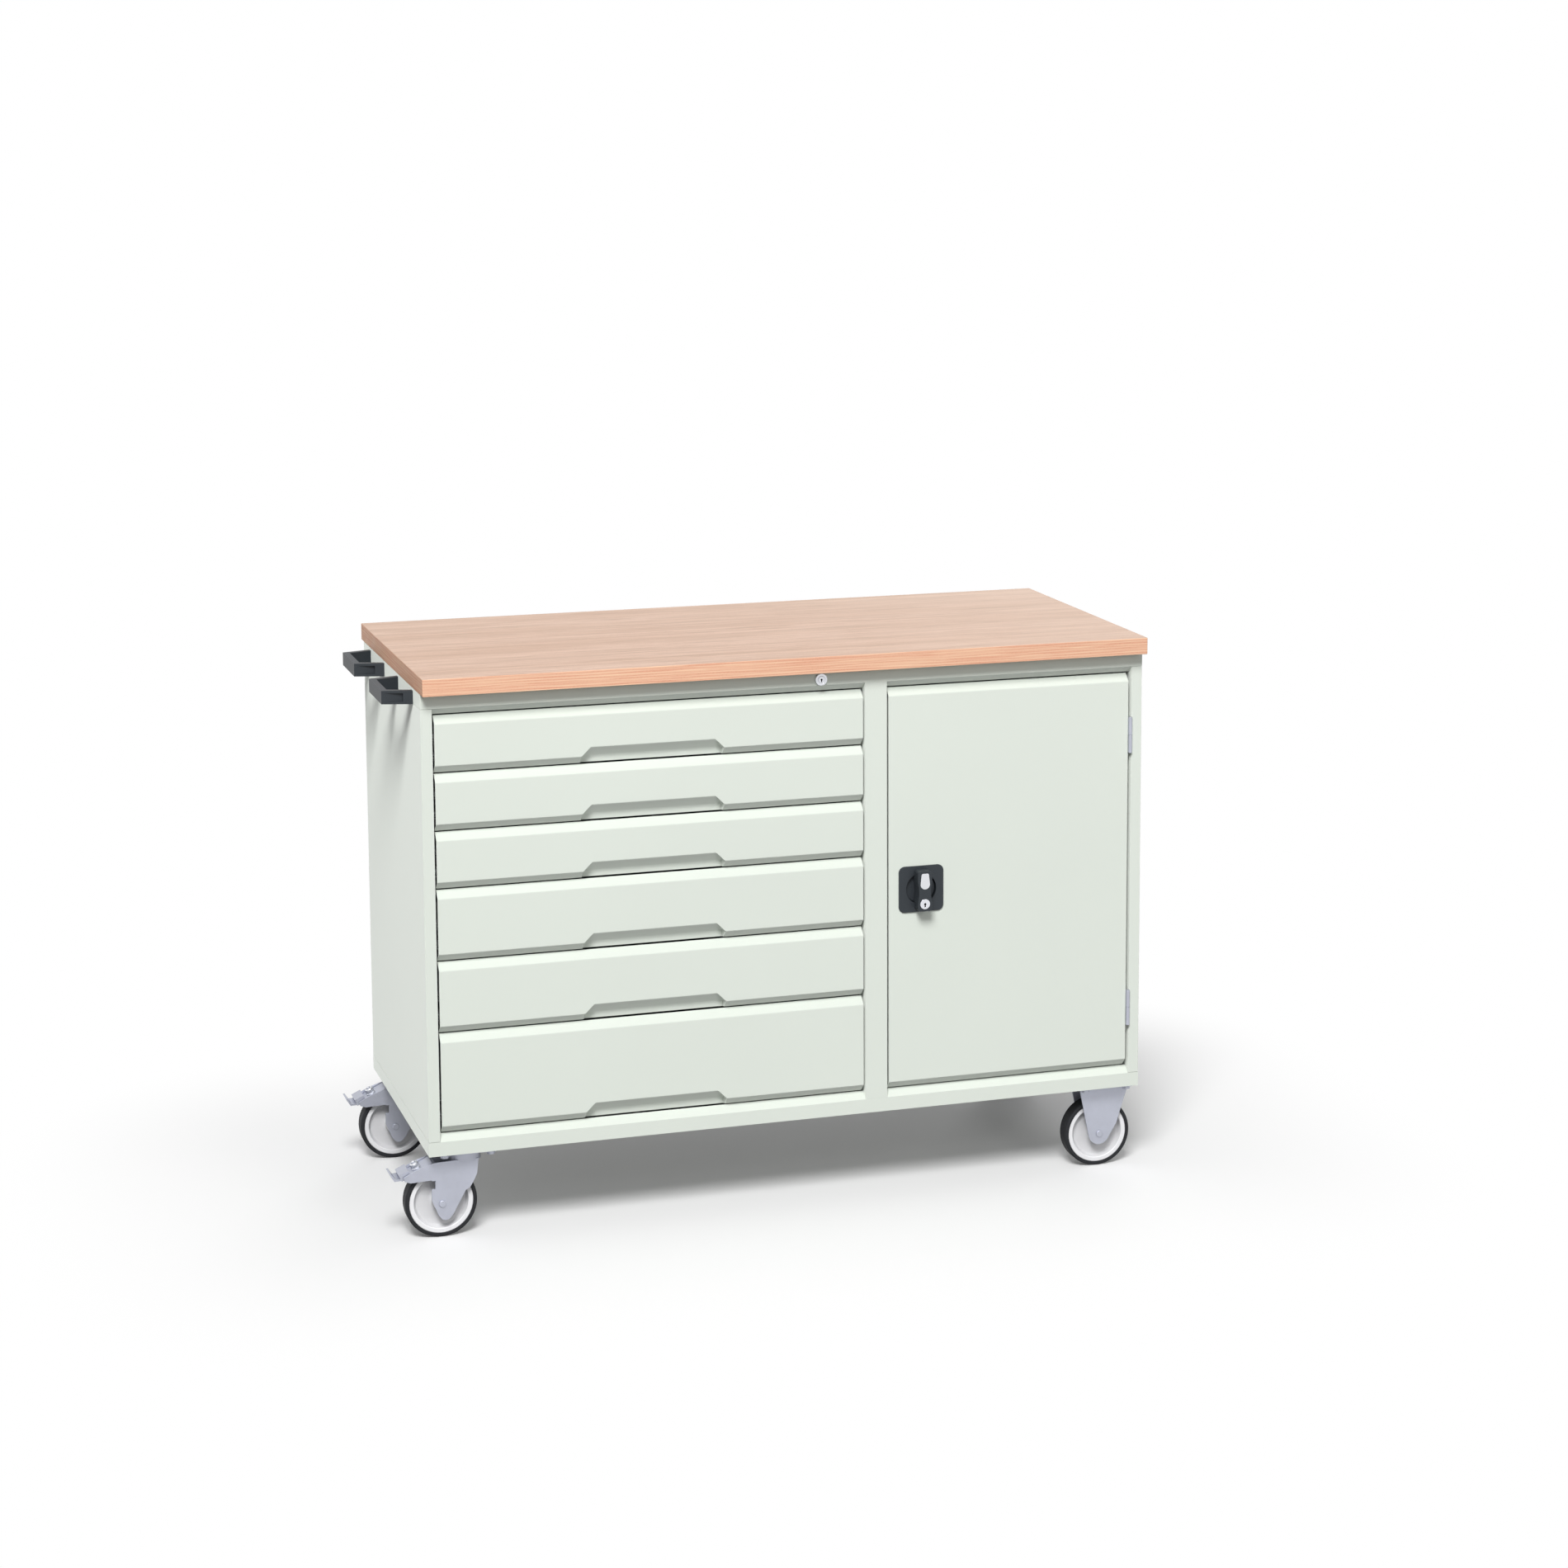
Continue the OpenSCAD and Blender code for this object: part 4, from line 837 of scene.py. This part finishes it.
class BENCH_OT_drawer_fronts(BenchOperator, bpy.types.Operator):
    """Makes the folded drawer fronts with their pressed finger grips"""

    bl_idname = "bench.drawer_fronts"
    bl_label = "Drawer fronts"

    def build(self, sizes):
        for i in DRAWERS:
            front = drawer_front(*span(f"drawer_front_{i}"), sizes)
            new_piece(f"drawer_front_sheet_{i}", *front, f"drawer_front_{i}")


class BENCH_OT_drawers(BenchOperator, bpy.types.Operator):
    """Makes the drawer trays and their slides"""

    bl_idname = "bench.drawers"
    bl_label = "Drawer trays and slides"

    def build(self, sizes):
        for i in DRAWERS:
            softened(f"drawer_tray_{i}", sizes.sheet_edge)
            dress(f"drawer_slide_{i}")
        dress("drawer_runners", "lock_bar")


class BENCH_OT_door(BenchOperator, bpy.types.Operator):
    """Makes the folded door, its stiffener and its hinges"""

    bl_idname = "bench.door"
    bl_label = "Door"

    def build(self, sizes):
        low, high = span("door_panel")
        plate_low, plate_high = span("lock_plate")
        # How far the lock plate covers the door round its hole
        cover = 8
        left, _, lower = plate_low + cover - low
        right, _, upper = plate_high - cover - low
        skin = door_skin(low, high, sizes, (left, right, lower, upper))
        door = new_piece("door_sheet", *skin, "door_panel", closed=False)
        solid = door.modifiers.new("Sheet", "SOLIDIFY")
        solid.thickness = sizes.sheet * MM
        solid.offset = -1
        door.modifiers.move(1, 0)
        for node in ("door_stiffener", "door_hinges", "frame_hinges"):
            softened(node, sizes.sheet_edge)
        dress("hinge_pins", "upper_rod", "lower_rod")


class BENCH_OT_locks(BenchOperator, bpy.types.Operator):
    """Makes the lock plate, the turn knob with its inlay, the key cylinder and the drawer lock"""

    bl_idname = "bench.locks"
    bl_label = "Locks"

    def build(self, sizes):
        softened("lock_plate", edge=0.8)
        softened("knob", edge=1.2)
        softened("lock_housing", edge=0.5)
        low, high = span("key_cylinder")
        diameter = high[2] - low[2]
        self.keyway("key_cylinder", (low + high) / 2, diameter * 0.35)
        self.keyway("lock_plug", sum(span("lock_housing")) / 2, 5)
        self.inlay(diameter * 0.49)

    @staticmethod
    def keyway(node, axis, reach):
        """Softens a lock's plug and marks the walls of its keyway for painted shade: the faces near
        the axis that lie a little to some way behind the plug's face."""
        front = span(node)[0][1]
        near, far = front + 0.2, front + 9
        # The marked walls take the chrome's painted shade
        mark(softened(node, edge=0.3), "bore", lambda at: (
            (np.hypot(at[:, 0] - axis[0], at[:, 2] - axis[2]) < reach)
            & (at[:, 1] > near) & (at[:, 1] < far)))

    @staticmethod
    def inlay(radius):
        """The pale inlay in the upper half of the knob: a half circle as its foot, and two sides
        that lean in to a rounded top. It is raised a little and covers the groove's edge."""
        low, high = span("knob")
        middle, length = (low + high) / 2, high[2] - low[2]
        foot, top, half_top = length * 0.05 + radius, length * 0.445, radius * 0.76
        turn = np.linspace(math.pi, 2 * math.pi, 25)
        bowl = np.column_stack([radius * np.cos(turn), foot + radius * np.sin(turn)])
        corners = [(radius, foot), (half_top, top), (-half_top, top), (-radius, foot)]
        per_corner = 5
        head = fillet(corners, [0.1, 3, 3, 0.1], per_corner - 1)[per_corner:3 * per_corner]
        outline = np.concatenate([bowl, head]) + (middle[0], middle[2])
        overlap, raised, sunk, edge = 0.12, 0.35, 1, 0.3
        plate = prism(inset(outline[::-1], -overlap), "y", low[1] - raised, low[1] + sunk, edge)
        new_piece("knob_inlay", *plate, "knob", finish="inlay", added=True)


class BENCH_OT_push_handles(BenchOperator, bpy.types.Operator):
    """Makes the two moulded push handles"""

    bl_idname = "bench.push_handles"
    bl_label = "Push handles"
    # Half the width across a handle's arms at the wall, and how fast they lean in away from it
    root = 75.0
    slant = 14.5 / 51

    def build(self, sizes):
        softened("push_handles", sizes.moulding, reshape=self.scoop)

    @classmethod
    def scoop(cls, points):
        """Turns the square pocket in each arm into a scoop: its end away from the cabinet moves out
        along the slanting arm, and its floor rises to the arm's face there. The slit that the
        bolt's bore leaves in that face is drawn together to a point."""
        low, high = span("push_handles")
        x, y, z = points.T
        centre = np.where(y < (low[1] + high[1]) / 2, low[1] + cls.root, high[1] - cls.root)
        depth = cls.root + cls.slant * x - abs(y - centre)
        # The pocket's and the scoop's far ends, the pocket's depth and the rim above and below it
        pocket_end, scoop_end, deepest, rim = low[0] * 0.7, low[0] * 0.9, 6.5, 2
        pocket = (abs(x - pocket_end) < 0.5) & (depth > -0.2) & (depth < deepest)
        pocket &= (z > low[2] + rim) & (z < high[2] - rim)
        # The bore meets the arm's face between these places along the arm
        outer, inner, level = -15, -8, (low[2] + high[2]) / 2
        slit = (abs(depth) < 0.05) & (x > outer) & (x < inner) & (abs(z - level) < 2)
        middle = x[slit].sum() / max(slit.sum(), 1)
        moved = points.copy()
        for chosen, place in ((pocket, scoop_end), (slit, middle)):
            moved[chosen, 0] = place
            arm = centre + np.sign(y - centre) * (cls.root + cls.slant * place)
            moved[chosen, 1] = arm[chosen]
        moved[slit, 2] = level
        return moved


class BENCH_OT_castors(BenchOperator, bpy.types.Operator):
    """Makes the castors: forks, top plates, brake pedals, axles, wheels and tyres"""

    bl_idname = "bench.castors"
    bl_label = "Castors"

    def build(self, sizes):
        for corner in WHEELS:
            self.wheel(corner)
        for row in ROWS:
            softened(f"swivel_fork_{row}", sizes.pressing)
            softened(f"brake_pedal_{row}", sizes.pressing)
            softened(f"swivel_axle_{row}", edge=0.8, finish="zinc_steel")
            self.brake_nut(row)
        softened("swivel_plates", sizes.pressing)
        softened("fixed_forks", sizes.pressing)
        softened("fixed_axles", edge=0.8, finish="zinc_steel")

    @staticmethod
    def brake_nut(row):
        """The knurled nut on the pedal's screw, turned about the screw and tilted with it. A cosine
        of many turns makes its radius swell."""
        foot = sum(span(f"tyre_{row}_left")) / 2 + (-39, 0, 57.5)
        grip, ridge, ridges = 7.6, 0.25, 18
        profile = [(0, 3), (8.2, 3), (8.6, 3.4), (8.6, 5), (grip, 5.6), (grip, 12), (7, 13.2),
                   (5, 14.2), (4.4, 14.2), (4.4, 12.6), (3.1, 12.6), (3.1, 16), (2.6, 16.5),
                   (0, 16.5)]
        points, faces = lathe(profile, (0, 0, 0), "z", steps=4 * ridges, close=False)
        angle = np.arctan2(points[:, 1], points[:, 0])
        radius = np.hypot(points[:, 0], points[:, 1])
        swell = (abs(radius - grip) < 0.1) * ridge * np.cos(angle * ridges)
        points[:, :2] *= (1 + swell / np.maximum(radius, 1))[:, None]
        tilt = math.radians(25)
        across, up = math.cos(tilt), math.sin(tilt)
        points = points @ np.array([[across, 0, up], [0, 1, 0], [-up, 0, across]]) + foot
        new_piece(f"brake_nut_{row}", points, faces, f"brake_pedal_{row}",
                  finish="lock_chrome", added=True)

    @staticmethod
    def wheel(corner):
        """A tyre and a wheel centre. Each profile is drawn for one half and mirrored."""
        low, high = span(f"tyre_{corner}")
        centre = (low + high) / 2
        radius, half, _ = (high - low) / 2
        hub = (span(f"wheel_{corner}")[1][1] - span(f"wheel_{corner}")[0][1]) / 2
        # Heights of the rubber and of its shoulder, and the tyre's chamfer at the rim
        rubber, shoulder, chamfer = 7, 4, 0.6
        rim = radius - rubber
        turn = np.linspace(-math.pi / 2, 0, 7)
        side = [(rim, chamfer - half), (rim + chamfer, -half)]
        side += [(radius - shoulder + shoulder * math.cos(a),
                  -half + shoulder + shoulder * math.sin(a)) for a in turn]
        crown = [(radius, (half - 5) * share) for share in (-0.5, 0, 0.5)]
        outer = side + crown + [(r, -t) for r, t in side[::-1]]
        new_piece(f"tyre_ring_{corner}", *lathe(outer, centre), f"tyre_{corner}")
        # Radius and half thickness: hub, web and ring
        face, ring = half - 1.5, 47.2
        flank = [(4.05, hub), (13.6, hub), (14.6, hub - 0.4), (15, hub - 1.4), (15.6, 8.5),
                 (16.6, 5.6), (19, 4.2), (24, 3.8), (38, 3.8), (43, 4.4), (45.2, 6.4), (46.4, 10),
                 (ring, face - 1), (ring + 1, face), (rim - 1, face), (rim, face - 0.8)]
        profile = [(r, -t) for r, t in flank] + flank[::-1]
        wheel = new_piece(f"wheel_centre_{corner}", *lathe(profile, centre), f"wheel_{corner}")
        # Marks the outer ring, which takes the rim's painted light; the web inside it takes painted
        # shade
        mark(wheel, "ring", lambda at: (
            np.hypot(at[:, 0] - centre[0], at[:, 2] - centre[2]) > ring - 0.2))


class BENCH_OT_hardware(BenchOperator, bpy.types.Operator):
    """Finishes the shelf, its clips and the fasteners"""

    bl_idname = "bench.hardware"
    bl_label = "Shelf and fasteners"

    def build(self, sizes):
        softened("shelf", sizes.sheet_edge)
        dress("shelf_clips")
        softened("fasteners", edge=0.4, finish="zinc_steel")


class BENCH_OT_stage(BenchOperator, bpy.types.Operator):
    """Makes the floor, the soft studio light, the world and the camera"""

    bl_idname = "bench.stage"
    bl_label = "Stage"

    def build(self, sizes):
        scene = bpy.context.scene
        scene.view_settings.view_transform = "Standard"
        self.floor()
        self.world(scene)
        self.lamp("key_light", (-2.6, -6.5, 7.9), (0, 0, 0.6), size=3.3, power=930)
        self.lamp("front_light", (2.6, -7.2, 3.4), (0.2, 0, 0.5), size=3, power=75)
        self.lamp("rear_light", (3.6, 7.0, 2.6), (0, 0, 0.5), size=4, power=145, gloss=False)
        camera = bpy.data.objects.new("camera", bpy.data.cameras.new("camera"))
        scene.collection.objects.link(camera)
        camera.data.lens = 78.89
        camera.data.sensor_width = 36
        camera.data.shift_x = -0.08
        camera.data.shift_y = -0.15
        camera.data.clip_end = 60
        camera.location = (-1.6385, -5.8752, 2.0199)
        # Radians that it looks down and to the right
        down, right = 0.1443, 0.3241
        camera.rotation_euler = (math.pi / 2 - down, 0, -right)
        scene.camera = camera

    @staticmethod
    def lamp(name, place, target, size, power, gloss=True):
        """A square soft box that faces a point: its z axis leads away from it. It isn't seen
        itself, and without gloss it isn't seen in reflections."""
        data = bpy.data.lights.new(name, "AREA")
        data.size = size
        data.energy = power
        lamp = bpy.data.objects.new(name, data)
        bpy.context.scene.collection.objects.link(lamp)
        lamp.location = place
        away = np.array(place) - np.array(target)
        flat = math.hypot(away[0], away[1])
        lamp.rotation_euler = (math.atan2(flat, away[2]), 0, math.atan2(away[0], -away[1]))
        lamp.visible_camera = False
        lamp.visible_glossy = gloss

    @staticmethod
    def world(scene):
        """A white world where it is seen, also in reflections, and a plain grey one for light."""
        world = bpy.data.worlds.new("studio")
        world.use_nodes = True
        scene.world = world
        tree = world.node_tree
        background = tree.nodes["Background"]
        path = tree.nodes.new("ShaderNodeLightPath")
        seen = path.outputs["Is Camera Ray"]
        for ray in ("Is Glossy Ray", "Is Transmission Ray"):
            either = tree.nodes.new("ShaderNodeMath")
            either.operation = "MAXIMUM"
            tree.links.new(seen, either.inputs[0])
            tree.links.new(path.outputs[ray], either.inputs[1])
            seen = either.outputs[0]
        level = tree.nodes.new("ShaderNodeMapRange")
        level.inputs["To Min"].default_value = 0.28
        level.inputs["To Max"].default_value = 1.0
        tree.links.new(seen, level.inputs["Value"])
        tree.links.new(level.outputs[0], background.inputs["Strength"])
        background.inputs["Color"].default_value = (1, 1, 1, 1)

    @staticmethod
    def floor():
        """A wide white floor. Where it is seen it glows, a little under the workbench and fully
        some way off, so that only the shadow is grey."""
        half = 30
        corners = [(x, y, 0) for x, y in box_outline(-half, half, -half, half)]
        mesh = bpy.data.meshes.new("floor")
        mesh.from_pydata(corners, [], [(0, 1, 2, 3)])
        floor = bpy.data.objects.new("floor", mesh)
        bpy.context.scene.collection.objects.link(floor)
        f = Finish("studio_floor", Roughness=0.9)
        seen = f.node("ShaderNodeLightPath", out="Is Camera Ray")
        for ray in ("Is Glossy Ray", "Is Transmission Ray"):
            seen = seen.math("MAXIMUM", seen, f.node("ShaderNodeLightPath", out=ray))
        f.set(Base_Color=f.mix(seen, (0.2, 0.2, 0.2), (0.92, 0.92, 0.92)))
        glow = f.node("ShaderNodeEmission", None, {"Color": (1, 1, 1), "Strength": 1.0})
        past = f.node("ShaderNodeVectorMath", {"operation": "ABSOLUTE"}, {0: f.place()})
        for operation, value in (("SUBTRACT", tuple(CAD_BOUNDS[1])), ("MAXIMUM", (0, 0, 0))):
            past = f.node("ShaderNodeVectorMath", {"operation": operation}, {0: past, 1: value})
        away = f.node("ShaderNodeVectorMath", {"operation": "LENGTH"}, {0: past}, "Value")
        least, fully_from = 0.06, 0.65
        white = (least + f.ramp(away, 0.0, fully_from) * (1 - least)) * seen
        body = Wire(f, f.shader.outputs["BSDF"])
        total = f.node("ShaderNodeMixShader", None, {0: white, 1: body, 2: glow})
        f.feed(f.output.inputs["Surface"], total)
        mesh.materials.append(f.material)


OPERATORS = (
    BENCH_OT_worktop, BENCH_OT_cabinet, BENCH_OT_drawer_fronts, BENCH_OT_drawers, BENCH_OT_door,
    BENCH_OT_locks, BENCH_OT_push_handles, BENCH_OT_castors, BENCH_OT_hardware, BENCH_OT_stage,
)


class BENCH_PT_panel(bpy.types.Panel):
    """Lists the steps that dress the workbench"""

    bl_idname = "BENCH_PT_panel"
    bl_label = "Workbench"
    bl_space_type = "VIEW_3D"
    bl_region_type = "UI"
    bl_category = "Workbench"

    def draw(self, context):
        for step in OPERATORS:
            self.layout.operator(step.bl_idname)
        for group in (context.scene.bench_sizes, context.scene.bench_colours):
            column = self.layout.column()
            for name in group.bl_rna.properties.keys():
                if name not in ("rna_type", "name"):
                    column.prop(group, name)


CLASSES = (BenchSizes, BenchColours, *OPERATORS, BENCH_PT_panel)


def register():
    for cls in CLASSES:
        bpy.utils.register_class(cls)
    bpy.types.Scene.bench_sizes = bpy.props.PointerProperty(type=BenchSizes)
    bpy.types.Scene.bench_colours = bpy.props.PointerProperty(type=BenchColours)


def unregister():
    del bpy.types.Scene.bench_colours
    del bpy.types.Scene.bench_sizes
    for cls in reversed(CLASSES):
        bpy.utils.unregister_class(cls)


def main():
    register()
    for step in OPERATORS:
        group, name = step.bl_idname.split(".")
        getattr(getattr(bpy.ops, group), name)()


if __name__ == "__main__":
    main()
